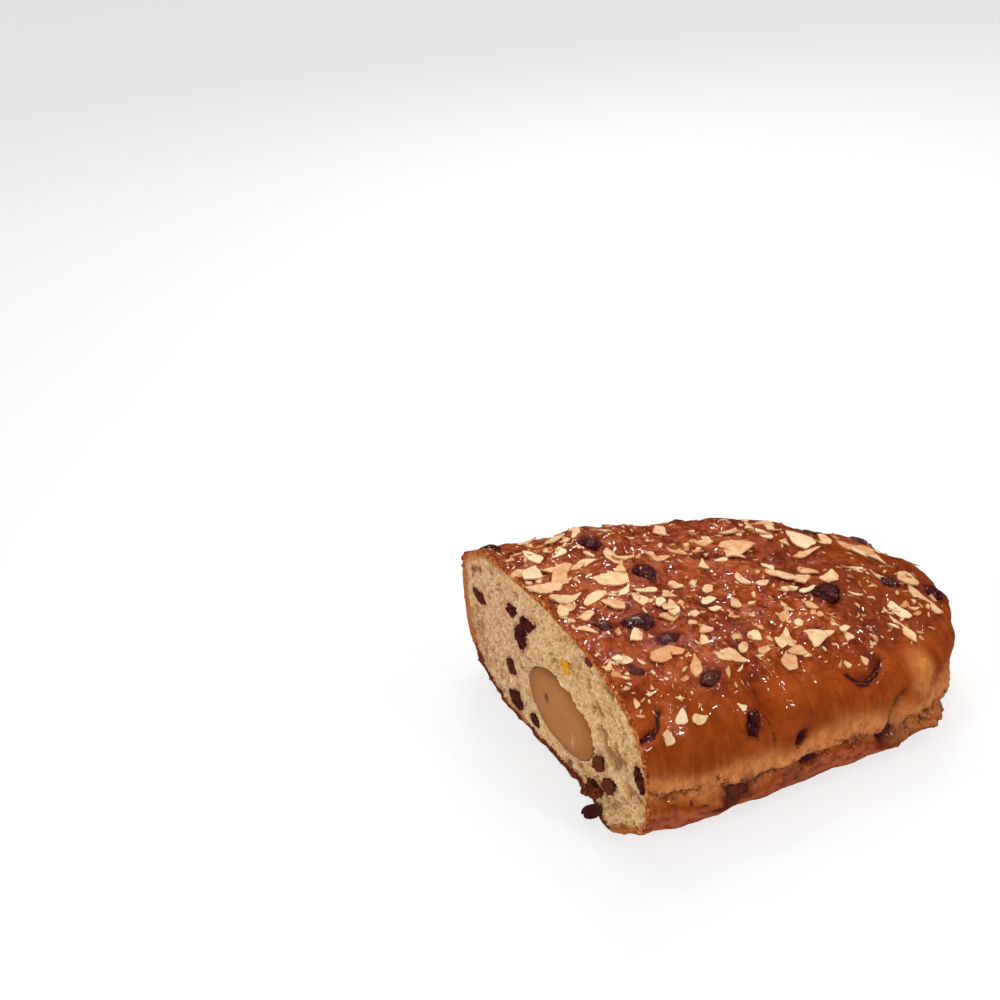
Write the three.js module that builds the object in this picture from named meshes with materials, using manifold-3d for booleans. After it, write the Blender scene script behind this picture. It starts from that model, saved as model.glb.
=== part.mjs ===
// Cut stollen: a sweet fruit loaf with a roll of almond paste baked in, cut straight across at one end
// and whole at the other, with raisins and candied peel in the crumb and flaked almonds on the crust.
//
// Millimetres, +Z up. +X runs along the loaf from the cut to the whole end, -Y is the near flank.
// The loaf is worked out with x = 0 at the middle of the cut, and the finished group is moved so that
// the origin is the middle of the base of its bounding box.
//
// A place on the crust is (along, round). Along is the distance from the cut. Round is the turn in
// degrees about the loaf's axis: 0 at the far flank, 90 at the crown, 180 at the near flank and 270 in
// the middle of the base. A turn on the crust goes from the +X direction towards growing round.
import * as THREE from 'three';
import { mergeVertices } from 'three/addons/utils/BufferGeometryUtils.js';
import Module from 'manifold-3d';

const wasm = await Module();
wasm.setup();

// ---- Driving dimensions ----

const LENGTH = 163;            // from the cut to the tip of the whole end
const WIDTH = 140;             // across the cut
const HEIGHT = 69;             // at the cut
const HEIGHT_DROP = 0.236;     // share of the height lost on the way to the whole end
const WAIST = 0.497;           // height of the widest line, as a share of the height
const CUT_SLANT = -0.075;      // how far the cut runs along the loaf for each mm across
const END_SLANT = -0.07;       // the same for the whole end
const PRESS = 2.4;             // how much of the round underside the baking tray flattened

// Each side of the section: taper is the share of the half width lost over the whole length, upper and
// lower are the exponents of the superellipse above and below the waist, foot is how far the flank
// draws in under the waist, and fall is where and how it closes to the tip.
const FAR_SIDE = { taper: 0.087, upper: 3.25, lower: 3.3, foot: 0.045, fall: [0.3, 2.2, 2.1] };
const NEAR_SIDE = { taper: 0.077, upper: 2.43, lower: 4.1, foot: 0, fall: [0.53, 2.9, 1.65] };
const CROWN_FALL = [0.105, 1.8, 2.28];
const FOOT_FALL = [0.3, 9, 3];

// Slow unevenness of the crust: crossed waves, each shorter and lower than the one before
const LUMP_WAVES = 6;
const LUMP_LONGEST = 46;
const LUMP_SHORTENING = 0.8;
const LUMP_HEIGHT = 0.75;
const LUMP_FADE = 14;          // height above the base over which the lumps grow to their full size

// Swellings and hollows of the crust: along, round, radius, height
const SWELLINGS = [
  [3, 38, 11, -1.6],
  [44, 60, 16, 1.2],
  [82, 58, 20, -1.4],
  [122, 55, 12, 1],
  [105, 90, 20, -1.4],
  [160, 150, 10, 1.2],
  [149, 186, 13, -2.6],
  [24, 56, 12, 1.2],
  [148, 207, 12, 2.6],
  [-2, 222, 14, -2.2],
  [64, 212, 16, 1.4],
  [6, 151, 6, 1.6],
  [95, 148, 6.5, 2],
  [61, 117, 5, 1.2],
  [71, 112, 5, 1.4],
  [119, 97, 6, 1.4],
  [88, 105, 5, 1],
  [77, 81, 8, 1.4],
  [40, 345, 16, 1.4],
  [100, 8, 18, 1.6],
];

// Creases pressed or torn into the crust: depth, half width, then their run as (along, round) places
const CREASES = [
  { name: 'near seam', depth: 1.7, half: 2.4, run: [
    [-4, 182], [12, 184], [30, 187], [45, 187], [57, 190], [70, 186], [86, 185], [101, 190], [128, 188],
  ] },
  { name: 'far seam', depth: 1.7, half: 2.4, run: [
    [-4, 358], [22, 354], [48, 356], [75, 352], [104, 355], [132, 352],
  ] },
  { name: 'tuck at the whole end', depth: 2.2, half: 2, run: [[98, 190], [104, 182], [109, 174]] },
  { name: 'fold on the near flank', depth: 1.3, half: 1.8, run: [[51, 145], [50, 162], [53, 179]] },
  { name: 'fold on the crown', depth: 1.8, half: 2, run: [[70, 84], [77, 86], [84, 87]] },
  { name: 'fold behind the crown', depth: 1.2, half: 3, run: [[97, 88], [107, 86.5], [117, 88]] },
  { name: 'slit under the near bump', depth: 2, half: 1.6, run: [[2, 158], [9, 154], [13, 146]] },
  { name: 'slit round the far bump', depth: 1.5, half: 1.5, run: [[88, 151], [92, 161], [103, 148]] },
];

// Raisins in the crust: along, round, long, wide, how far they stand proud, turn
const CRUST_RAISINS = [
  [6.5, 50, 11, 7, 1.8, 60],
  [37.5, 71, 9, 8, 1.6, 80],
  [46, 88, 10, 9, 2.4, 60],
  [25, 107, 12, 8, 2, 10],
  [13.5, 104, 6, 5, 0.6, 100],
  [32, 115, 9, 5, 0.6, 10],
  [13, 126, 6, 4.5, 0.4, 0],
  [36, 138, 9, 5, 0.3, 10],
  [102.5, 108.5, 11, 10, 5, 130],
  [137, 104, 9, 7, 2.2, 120],
  [152, 126, 12, 9, 0.8, 70],
  [149, 66, 7, 6, 1.2, 0],
  [134, 57, 10, 6.5, 1.2, 100],
  [45.5, 165, 10, 5.5, 0.3, 75],
  [63, 180, 8, 4, 0.2, 80],
  [37, 191, 12, 8, 0.4, 175],
  [67.5, 188, 8, 4, 0.2, 160],
  [101, 190, 8.5, 7, 0.4, 60],
  [28, 12, 9, 6.5, 0.8, 20],
  [60, 349, 8, 6, 0.5, 60],
  [88, 24, 11, 8, 1.8, 120],
  [112, 357, 9, 6, 0.6, 15],
  [130, 18, 8, 7, 1.4, 0],
];

// Raisins at the cut: across, up, wide, high, turn in the cut towards the near side, way into the crumb
const CUT_RAISINS = [
  [56, 41.5, 10, 5.5, 5, 0.5],
  [26, 51, 9, 5.5, -30, 0.4],
  [31.5, 22, 8, 6.5, -10, 1],
  [29.5, 7.4, 12, 6.5, 0, 0.6],
  [14, 7.6, 8, 5, 0, 0.8],
  [-34, 62.8, 5.5, 3.6, -35, 0.5],
  [-35.5, 19.8, 11, 5.6, -40, 0.7],
  [-42, 14.2, 11, 6, -38, 0.7],
  [-64.3, 32, 5, 10.5, -20, 0.4],
  [-30, 6.5, 7, 4.6, -10, 0.6],
];

// Two raisins baked together at the cut, as rows of the list above
const JOINED_RAISINS = [[19.8, 43, 8, 15, 22, 0.4], [14.6, 51, 12, 6, -30, 0.4]];

// A raisin that sticks out of the cut, above the base
const LOOSE_RAISIN = [-39, 4.2, 8, 7, 0, -2.7];

const RAISIN_THICKNESS = 0.78; // of its width
const CUT_RAISIN_DEPTH = 7;    // of a cut raisin, along the loaf
const RAISIN_WRINKLE = 0.1;    // of its size
const PLAIN_RAISIN = 7;        // one shorter than this has fewer facets

// Candied peel: in the crust as a crust raisin's row, and at the cut as a cut raisin's row
const CRUST_PEEL = [118, 165, 12, 7, 0.6, 80];
const CUT_PEEL = [-15.5, 50.5, 5, 9, 35, 0.8];

// Roll of almond paste: its middle across and up, half sizes, and where it ends inside the loaf
const PASTE = { across: -7.5, up: 24.3, halfWide: 23.8, halfHigh: 15.2, end: 138, nose: 22 };
const PASTE_SIDES = 40;

// Flaked almonds, the largest first: along, round, long, wide, turn
const LARGE_FLAKES = [
  [123, 75, 16, 11, 90],
  [141, 124, 17, 6, 97],
  [143, 80, 16, 9, 125],
  [91, 84, 14, 11, 0],
  [93, 94.5, 14, 9, 145],
  [32, 89, 14, 9, 150],
  [15, 86, 15, 6, 65],
  [121, 134, 15, 4, 97],
  [147, 105, 13, 8, 60],
  [108, 75, 13, 5, 85],
  [6.5, 88.5, 13, 6, 10],
  [40, 81.5, 12, 5, 85],
  [14, 72, 12, 5, 100],
  [27, 122, 12, 6, 0],
  [48, 130, 11, 5, 160],
  [127, 122, 11, 5, 95],
  [86, 129, 10, 8, 0],
  [100, 97.5, 10, 7, 20],
  [4, 81, 10, 5, 0],
  [20, 91.5, 10, 4, 20],
  [24, 95.5, 9, 7, 135],
  [28, 59, 9, 7, 0],
  [113, 97, 9, 7, 60],
  [74, 125, 9, 7, 60],
  [108, 92, 9, 5, 100],
  [97, 69, 9, 7, 45],
  [55, 84, 9, 8, 120],
  [66, 82, 8, 5, 130],
  [45, 97, 7, 5, 60],
];
const SMALL_FLAKES = 14;
const SMALL_FLAKE_TRIES = 4000;
const SMALL_FLAKE_LONG = [6, 9];
const SMALL_FLAKE_WIDE = [0.45, 0.8];   // of its length
const FLAKED_ALONG = [4, 154];
const FLAKED_ROUND = [38, 138];
const FLAKE_SIDES = 6;
const FLAKE_THICK = 1.9;
const FLAKE_PROUD = 0.75;
const FLAKE_TILT = 5;          // degrees, at most

const GAP = 0.35;              // between a raisin, peel or paste and its hole in the crumb
const GOLDEN_ANGLE = 2.4;
const HALF_SPACE = 400;        // size of the block that stands for all that is behind the cut

// How finely the crust is divided
const BODY_RINGS = 22;
const BODY_SHARE = 0.8;
const END_RINGS = 9;
const RING_POINTS = 62;
const BEFORE_CUT = 4;          // the uncut form starts this far before the cut

const SEED = 7;

// ---- Materials ----

const MATERIALS = {
  crust: { color: 0x96552f, roughness: 0.42 },
  almondPaste: { color: 0xb48c5e, roughness: 0.6 },
  raisin: { color: 0x3a1f1c, roughness: 0.38 },
  peel: { color: 0xd28a2c, roughness: 0.35 },
};

function material(name) {
  return new THREE.MeshStandardMaterial({ ...MATERIALS[name], metalness: 0 });
}

// ---- Small helpers ----

const radians = THREE.MathUtils.degToRad;
const clamp01 = (value) => THREE.MathUtils.clamp(value, 0, 1);

// Even draws from 0 to 1 that are the same each time
function seededDraw(seed) {
  let state = seed;
  return () => {
    state = (state * 1664525 + 1013904223) % 2 ** 32;
    return state / 2 ** 32;
  };
}

function signedPower(value, exponent) {
  return Math.sign(value) * Math.abs(value) ** exponent;
}

// 1 up to the start, then falling to 0 at the tip
function fallOff(u, [start, bend, root]) {
  const way = clamp01((u - start) / (1 - start));
  return (1 - way ** bend) ** (1 / root);
}

// 1 at the middle of a bump or crease, 0 from twice its half width outwards
function softHill(distance, half) {
  const way = clamp01(distance / (2 * half));
  return (1 - way * way) ** 2;
}

// ---- The form of the loaf ----

// A point of the loaf's smooth form, with round in radians
function smoothForm(along, round) {
  const u = Math.min(along / LENGTH, 1);
  const c = Math.cos(round);
  const s = Math.sin(round);
  const side = c >= 0 ? FAR_SIDE : NEAR_SIDE;
  const height = HEIGHT * (1 - HEIGHT_DROP * u);
  const waist = WAIST * height;
  const half = 0.5 * WIDTH * (1 - side.taper * u) * fallOff(u, side.fall);
  let y;
  let z;
  if (s >= 0) {
    y = half * signedPower(c, 2 / side.upper);
    z = waist + (height - waist) * fallOff(u, CROWN_FALL) * s ** (2 / side.upper);
  } else {
    y = half * signedPower(c, 2 / side.lower) * (1 - side.foot * s * s);
    z = Math.max(0, waist - (waist + PRESS) * fallOff(u, FOOT_FALL) * (-s) ** (2 / side.lower));
  }
  const x = along + END_SLANT * y * u * u + CUT_SLANT * y * (1 - u) ** 2;
  return new THREE.Vector3(x, y, z);
}

// The outward direction of the smooth form
function outward(along, round) {
  const step = 0.4;
  const turn = 0.02;
  const back = Math.min(along, LENGTH - 2 * step);
  const lengthwise = smoothForm(back + step, round).sub(smoothForm(back - step, round));
  const crosswise = smoothForm(back, round + turn).sub(smoothForm(back, round - turn));
  return crosswise.cross(lengthwise).normalize();
}

function lumps(point) {
  let sum = 0;
  for (let i = 0; i < LUMP_WAVES; i++) {
    const heading = i * GOLDEN_ANGLE;
    const wave = 2 * Math.PI / (LUMP_LONGEST * LUMP_SHORTENING ** i);
    const way = point.x * Math.cos(heading) + point.y * Math.sin(heading) + point.z * Math.cos(i);
    sum += LUMP_SHORTENING ** i * Math.sin(wave * way + i);
  }
  return LUMP_HEIGHT * sum * clamp01(point.z / LUMP_FADE);
}

// The distance from a point to the run of a crease
function distanceToRun(point, run) {
  const nearest = new THREE.Vector3();
  let least = Infinity;
  for (let i = 1; i < run.length; i++) {
    new THREE.Line3(run[i - 1], run[i]).closestPointToPoint(point, true, nearest);
    least = Math.min(least, nearest.distanceTo(point));
  }
  return least;
}

const onForm = ([along, round]) => smoothForm(along, radians(round));

const SWELLING_PLACES = SWELLINGS.map(onForm);

// A crease's run in space, with a middle point on the form in each stretch
const CREASE_RUNS = CREASES.map(({ run }) => {
  const places = run.map(onForm);
  for (let i = run.length - 1; i > 0; i--) {
    const middle = [0, 1].map((k) => (run[i - 1][k] + run[i][k]) / 2);
    places.splice(i, 0, onForm(middle));
  }
  return places;
});

function relief(point) {
  let height = lumps(point);
  SWELLINGS.forEach(([, , radius, rise], i) => {
    height += rise * softHill(point.distanceTo(SWELLING_PLACES[i]), radius / 1.4);
  });
  CREASES.forEach(({ depth, half }, i) => {
    height -= depth * softHill(distanceToRun(point, CREASE_RUNS[i]), half);
  });
  return height;
}

// A point of the real, uneven crust, with round in radians
function crustPoint(along, round) {
  const point = smoothForm(along, round);
  if (point.z > 0) {
    point.addScaledVector(outward(along, round), relief(point));
    point.z = Math.max(point.z, 0);
  }
  return point;
}

// ---- Solids ----

function toManifold(geometry) {
  const bare = geometry.clone();
  bare.deleteAttribute('normal');
  bare.deleteAttribute('uv');
  const merged = mergeVertices(bare, 1e-5);
  return new wasm.Manifold(new wasm.Mesh({
    numProp: 3,
    vertProperties: merged.attributes.position.array,
    triVerts: new Uint32Array(merged.index.array),
  }));
}

function toMesh(name, solid, materialName) {
  const { vertProperties, triVerts } = solid.getMesh();
  const geometry = new THREE.BufferGeometry();
  geometry.setAttribute('position', new THREE.BufferAttribute(new Float32Array(vertProperties), 3));
  geometry.setIndex(new THREE.BufferAttribute(new Uint32Array(triVerts), 1));
  geometry.computeVertexNormals();
  const mesh = new THREE.Mesh(geometry, material(materialName));
  mesh.name = name;
  return mesh;
}

// A closed skin over rings of equally many points, with a middle point at each end
function skin(rings, firstMiddle, lastMiddle) {
  const count = rings[0].length;
  const positions = rings.flat().flatMap((p) => p.toArray());
  const first = rings.length * count;
  positions.push(...firstMiddle.toArray(), ...lastMiddle.toArray());
  const index = [];
  for (let k = 0; k < count; k++) {
    const next = (k + 1) % count;
    for (let i = 0; i + 1 < rings.length; i++) {
      const a = i * count + k;
      const b = i * count + next;
      index.push(a, b, a + count, b, b + count, a + count);
    }
    const end = (rings.length - 1) * count;
    index.push(first, next, k);
    index.push(first + 1, end + k, end + next);
  }
  const geometry = new THREE.BufferGeometry();
  geometry.setAttribute('position', new THREE.BufferAttribute(new Float32Array(positions), 3));
  geometry.setIndex(index);
  return geometry;
}

function loafBody() {
  const stations = [-BEFORE_CUT];
  for (let i = 0; i <= BODY_RINGS; i++) {
    stations.push(LENGTH * BODY_SHARE * i / BODY_RINGS);
  }
  for (let i = 1; i < END_RINGS; i++) {
    const way = Math.sin(0.5 * Math.PI * i / END_RINGS);
    stations.push(LENGTH * (BODY_SHARE + (1 - BODY_SHARE) * way));
  }
  const rings = stations.map((along) => Array.from({ length: RING_POINTS }, (_, k) =>
    crustPoint(along, 2 * Math.PI * k / RING_POINTS)));
  const cutMiddle = new THREE.Vector3(-BEFORE_CUT, 0, WAIST * HEIGHT);
  return toManifold(skin(rings, cutMiddle, crustPoint(LENGTH, 0)));
}

// All the space behind the cut
function behindCut() {
  const block = new THREE.BoxGeometry(HALF_SPACE, HALF_SPACE, HALF_SPACE);
  block.translate(HALF_SPACE / 2, 0, 0);
  block.rotateZ(Math.atan(-CUT_SLANT));
  return toManifold(block);
}

// A raisin of three sizes about the origin, made larger all over by grow
function raisin(long, wide, thick, seed, grow) {
  const geometry = new THREE.OctahedronGeometry(1, long < PLAIN_RAISIN ? 1 : 2);
  const position = geometry.attributes.position;
  const point = new THREE.Vector3();
  for (let i = 0; i < position.count; i++) {
    point.fromBufferAttribute(position, i);
    const wrinkle = Math.sin(5 * point.x + seed) + Math.sin(6 * point.y + 2 * seed)
      + Math.sin(7 * point.z + 3 * seed);
    const size = 1 + RAISIN_WRINKLE * wrinkle / 2;
    point.set(point.x * (size * long / 2 + grow), point.y * (size * wide / 2 + grow),
      point.z * (size * thick / 2 + grow));
    position.setXYZ(i, point.x, point.y, point.z);
  }
  return geometry;
}

// A frame on the crust: x along the turned direction, z outwards
function crustFrame(along, round, turn) {
  const angle = radians(round);
  const out = outward(along, angle);
  const lengthwise = new THREE.Vector3(1, 0, 0).addScaledVector(out, -out.x).normalize();
  lengthwise.applyAxisAngle(out, radians(turn));
  const crosswise = out.clone().cross(lengthwise);
  const frame = new THREE.Matrix4().makeBasis(lengthwise, crosswise, out);
  return frame.setPosition(crustPoint(along, angle));
}

function crustRaisin([along, round, long, wide, proud, turn], seed, grow) {
  const thick = wide * RAISIN_THICKNESS;
  const geometry = raisin(long, wide, thick, seed, grow);
  geometry.translate(0, 0, proud - thick / 2);
  return geometry.applyMatrix4(crustFrame(along, round, turn));
}

function cutRaisin([across, up, wide, high, turn, depth], seed, grow) {
  const geometry = raisin(CUT_RAISIN_DEPTH, wide, high, seed, grow);
  geometry.rotateX(radians(turn));
  geometry.translate(depth + CUT_SLANT * across, across, up);
  return geometry;
}

// The roll of almond paste: straight, with a rounded end inside the loaf
function pasteRoll(grow) {
  const stations = [[-BEFORE_CUT, 1], [PASTE.end - PASTE.nose, 1]];
  for (const share of [0.4, 0.7, 0.9]) {
    stations.push([PASTE.end - PASTE.nose * (1 - share), Math.sqrt(1 - share * share)]);
  }
  const middle = (x) => new THREE.Vector3(x, PASTE.across, PASTE.up);
  const rings = stations.map(([x, size]) => Array.from({ length: PASTE_SIDES }, (_, k) => {
    const angle = 2 * Math.PI * k / PASTE_SIDES;
    const y = (PASTE.halfWide * size + grow) * Math.cos(angle);
    const z = (PASTE.halfHigh * size + grow) * Math.sin(angle);
    return middle(x).add(new THREE.Vector3(0, y, z));
  }));
  return skin(rings, middle(-BEFORE_CUT), middle(PASTE.end + grow));
}

// ---- Flaked almonds ----

// A flake as a thin six-sided plate with one end more pointed, in its own frame
function flakePlate(long, wide, point) {
  const outline = Array.from({ length: FLAKE_SIDES }, (_, k) => {
    const angle = 2 * Math.PI * (k + 0.5) / FLAKE_SIDES;
    const narrowing = 1 - point * Math.cos(angle);
    return new THREE.Vector2(long / 2 * Math.cos(angle), wide / 2 * Math.sin(angle) * narrowing);
  });
  const plate = new THREE.ExtrudeGeometry(new THREE.Shape(outline), {
    depth: FLAKE_THICK, bevelEnabled: false, steps: 1,
  });
  return plate.translate(0, 0, FLAKE_PROUD - FLAKE_THICK);
}

const onCrust = ([along, round]) => crustPoint(along, radians(round));

function isClear(flake, others) {
  const place = onCrust(flake);
  return others.every((other) => {
    const room = (flake[2] + other[2]) / 2;
    return place.distanceTo(onCrust(other)) > room;
  });
}

// The places of all flakes: the large ones, then small ones drawn where there is room
function flakeRows() {
  const draw = seededDraw(SEED);
  const between = ([low, high]) => low + (high - low) * draw();
  const fixed = [...CRUST_RAISINS, CRUST_PEEL];
  const rows = [...LARGE_FLAKES];
  for (let i = 0; i < SMALL_FLAKE_TRIES && rows.length < LARGE_FLAKES.length + SMALL_FLAKES; i++) {
    const long = between(SMALL_FLAKE_LONG);
    const row = [between(FLAKED_ALONG), between(FLAKED_ROUND), long, long * between(SMALL_FLAKE_WIDE)];
    row.push(180 * draw());
    if (isClear(row, [...fixed, ...rows])) {
      rows.push(row);
    }
  }
  return rows;
}

function almondFlakes() {
  const draw = seededDraw(SEED + 1);
  return flakeRows().map(([along, round, long, wide, turn]) => {
    const plate = flakePlate(long, wide, 0.15 + 0.3 * draw());
    plate.rotateX(radians(FLAKE_TILT * (2 * draw() - 1)));
    plate.rotateY(radians(FLAKE_TILT * (2 * draw() - 1)));
    return toManifold(plate.applyMatrix4(crustFrame(along, round, turn)));
  });
}

// ---- The pieces in the crumb ----

// Each inclusion is its name, its material and a function that gives its solid grown by a given amount
function inclusions(behind) {
  const list = [];
  const add = (name, materialName, rows, shape, seed, cut) => {
    const solid = (grow) => rows
      .map((row, k) => toManifold(shape(row, seed + k, grow)))
      .reduce((sum, part) => sum.add(part));
    list.push({ name, materialName, solid: cut ? (grow) => solid(grow).intersect(behind) : solid, cut });
  };
  const twoDigits = (i) => String(i + 1).padStart(2, '0');
  CRUST_RAISINS.forEach((row, i) => {
    add(`raisin_crust_${twoDigits(i)}`, 'raisin', [row], crustRaisin, i, false);
  });
  CUT_RAISINS.forEach((row, i) => {
    add(`raisin_cut_${twoDigits(i)}`, 'raisin', [row], cutRaisin, i + 0.5, true);
  });
  add('raisin_cut_pair', 'raisin', JOINED_RAISINS, cutRaisin, 3, true);
  add('raisin_cut_loose', 'raisin', [LOOSE_RAISIN], cutRaisin, 5, false);
  add('peel_crust', 'peel', [CRUST_PEEL], crustRaisin, 8, false);
  add('peel_cut', 'peel', [CUT_PEEL], cutRaisin, 9, true);
  return list;
}

// ---- Assembly ----

function stollen() {
  const behind = behindCut();
  const pieces = inclusions(behind);
  const flaked = almondFlakes().reduce((sum, flake) => sum.add(flake), loafBody());
  const whole = flaked.intersect(behind).subtract(toManifold(pasteRoll(GAP)));
  const loaf = pieces.reduce((rest, piece) => rest.subtract(piece.solid(GAP)), whole);

  const group = new THREE.Group();
  group.add(toMesh('loaf', loaf, 'crust'));
  group.add(toMesh('almond_paste', toManifold(pasteRoll(0)).intersect(behind), 'almondPaste'));
  for (const { name, solid, materialName } of pieces) {
    group.add(toMesh(name, solid(0), materialName));
  }
  const box = new THREE.Box3().setFromObject(group);
  const middle = box.getCenter(new THREE.Vector3());
  group.position.set(-middle.x, -middle.y, -box.min.z);
  return group;
}

export default stollen();
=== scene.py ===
"""A cut stollen: crust, crumb, almond paste, raisins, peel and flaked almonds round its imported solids.

Tables are in millimetres in the frame of the cut: x = 0 at the middle of the cut, +X along the loaf to its
whole end, -Y towards the near flank and +Z up. to_frame() turns them into metres in the shared frame.
A place on the crust is (along, round): along is the distance from the cut, and round is the turn in degrees
about the loaf's axis, 0 at the far flank, 90 at the crown, 180 at the near flank, 270 under the loaf.
"""

import math

import bpy
import numpy as np
from bpy.props import FloatProperty, FloatVectorProperty, IntProperty, PointerProperty
from mathutils import Euler, Matrix, Vector, noise
from mathutils.bvhtree import BVHTree


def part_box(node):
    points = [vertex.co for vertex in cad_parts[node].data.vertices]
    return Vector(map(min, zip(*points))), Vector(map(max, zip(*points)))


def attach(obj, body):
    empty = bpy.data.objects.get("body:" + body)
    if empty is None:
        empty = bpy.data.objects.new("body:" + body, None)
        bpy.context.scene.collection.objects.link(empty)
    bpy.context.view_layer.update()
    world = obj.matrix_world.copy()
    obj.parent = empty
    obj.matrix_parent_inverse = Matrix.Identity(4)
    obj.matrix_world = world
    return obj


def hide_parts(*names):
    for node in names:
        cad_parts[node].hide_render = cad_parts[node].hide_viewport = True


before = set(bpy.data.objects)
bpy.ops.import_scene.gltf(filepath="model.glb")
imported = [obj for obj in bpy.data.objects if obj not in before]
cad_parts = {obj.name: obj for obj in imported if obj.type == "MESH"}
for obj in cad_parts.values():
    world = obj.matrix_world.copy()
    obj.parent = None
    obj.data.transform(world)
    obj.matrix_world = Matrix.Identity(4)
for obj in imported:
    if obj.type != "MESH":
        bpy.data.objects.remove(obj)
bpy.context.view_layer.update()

bl_info = {
    "name": "Cut stollen",
    "version": (1, 0, 0),
    "blender": (4, 5, 0),
    "location": "View3D > Sidebar > Stollen",
    "description": "Builds the looks of a cut stollen round its solids",
    "category": "Add Mesh",
}

MM = 0.001
MERGE = 1e-6                   # vertices closer than this, in metres, become one

# ---- The form of the loaf, as its solid has it ----

LENGTH = 163
WIDTH = 140
HEIGHT = 69
HEIGHT_DROP = 0.236            # share of the height that is lost on the way to the tip
WAIST = 0.497                  # share of the height at which the loaf is widest
CUT_SLANT = -0.075             # how far along the cut runs for each mm across
END_SLANT = -0.07              # the same for the tip
PRESS = 2.4                    # how far the tray presses the underside flat
# Each side's narrowing towards the tip, its roundness above and below the waist, how far its foot draws in,
# and how it falls off at the tip: start, bend, root
FAR_SIDE = {"taper": 0.087, "upper": 3.25, "lower": 3.3, "foot": 0.045, "fall": (0.3, 2.2, 2.1)}
NEAR_SIDE = {"taper": 0.077, "upper": 2.43, "lower": 4.1, "foot": 0, "fall": (0.53, 2.9, 1.65)}
CROWN_FALL = (0.105, 1.8, 2.28)
FOOT_FALL = (0.3, 9, 3)

# Broad lumps of the loaf, made by crossing waves
LUMP_WAVES = 6
LUMP_LONGEST = 46
LUMP_SHORTENING = 0.8
LUMP_HEIGHT = 0.75
LUMP_FADE = 14
GOLDEN_ANGLE = 2.4

# Swellings and hollows: along, round, radius, height
SWELLINGS = [
    (3, 38, 11, -1.6), (44, 60, 16, 1.2), (82, 58, 20, -1.4), (122, 55, 12, 1), (105, 90, 20, -1.4),
    (160, 150, 10, 1.2), (149, 186, 13, -2.6), (24, 56, 12, 1.2), (148, 207, 12, 2.6),
    (-2, 222, 14, -2.2), (64, 212, 16, 1.4), (6, 151, 6, 1.6), (95, 148, 6.5, 2), (61, 117, 5, 1.2),
    (71, 112, 5, 1.4), (119, 97, 6, 1.4), (88, 105, 5, 1), (77, 81, 8, 1.4), (40, 345, 16, 1.4),
    (100, 8, 18, 1.6),
]

# Runs of the seams that opened on the flanks: along, round
NEAR_SEAM = [
    (-4, 182), (12, 184), (30, 187), (45, 187), (57, 190), (70, 186), (86, 185), (101, 190), (128, 188),
]
FAR_SEAM = [(-4, 358), (22, 354), (48, 356), (75, 352), (104, 355), (132, 352)]

# Swellings and hollows that the solid leaves out
DETAIL_SWELLINGS = [
    (140, 199, 10, -2.6), (123, 208, 10, 1.8), (147, 172, 8, 1.8), (156, 118, 8, -1.6),
    (67, 53, 12, 1.4), (88, 54, 8, 0.8), (23, 207, 12, 2), (108, 206, 9, 1.4), (127, 203, 5, 1.8),
]

# Fruit that lies just under the glaze and darkens it: along, round, radius, strength
FRUIT_SHADOWS = [
    (98, 147, 6, 0.8), (92, 157, 4, 0.7), (14, 103, 6, 0.7), (28, 114, 6, 0.7), (36, 134, 6, 0.6),
    (60, 112, 7, 0.45), (70, 111, 4, 0.6), (12, 125, 4, 0.5), (31, 199, 5, 0.95), (35, 192, 7, 1),
    (40, 187, 6, 0.95), (62, 196, 7, 0.5), (105, 192, 8, 0.6), (90, 103, 4, 0.6), (139, 98, 6, 0.7),
    (64, 178, 3, 0.6), (22, 88, 5, 0.35), (100, 68, 6, 0.4), (30, 82, 5, 0.3), (46, 166, 4, 0.5),
    (153, 128, 7, 0.6), (76, 86, 6, 0.5), (108, 87, 6, 0.4), (50, 92, 6, 0.3),
]

# Creases: depth, half width, darkness of their painted shade, run as (along, round)
CREASES = [
    (1.7, 2.4, 0.25, NEAR_SEAM),
    (1.7, 2.4, 0.25, FAR_SEAM),
    (2.2, 2, 0.6, [(98, 190), (104, 182), (109, 174)]),
    (1.3, 1.8, 0.25, [(51, 145), (50, 162), (53, 179)]),
    (1.8, 2, 0.55, [(70, 84), (77, 86), (84, 87)]),
    (1.2, 3, 0.15, [(97, 88), (107, 86.5), (117, 88)]),
    (2, 1.6, 1, [(2, 158), (9, 154), (13, 146)]),
    (1.5, 1.5, 0.9, [(88, 151), (92, 161), (103, 148)]),
]

# Blistered, very glossy spots of the glaze, lightened with a painted sheen: along, round, radius, strength
GLOSSY_SPOTS = [
    (17, 152, 6.5, 1), (108, 116, 3.6, 1), (66, 114, 6, 0.9), (90, 102, 3, 1), (120, 98, 3, 1),
    (140, 94, 3, 0.9),
    (100, 84, 4, 0.9), (46, 159, 2.4, 1), (50, 115, 3, 0.7), (8, 119, 3, 0.6), (110, 131, 3, 0.8),
    (137, 153, 3, 0.5), (80, 106, 3, 0.6), (14, 117, 4, 0.5), (57, 118, 4, 0.8), (93, 73, 5, 0.6),
    (36, 100, 3, 0.5), (43, 128, 4, 0.4), (24, 131, 4, 0.5), (150, 120, 4, 0.8), (70, 100, 5, 0.4),
]
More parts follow.
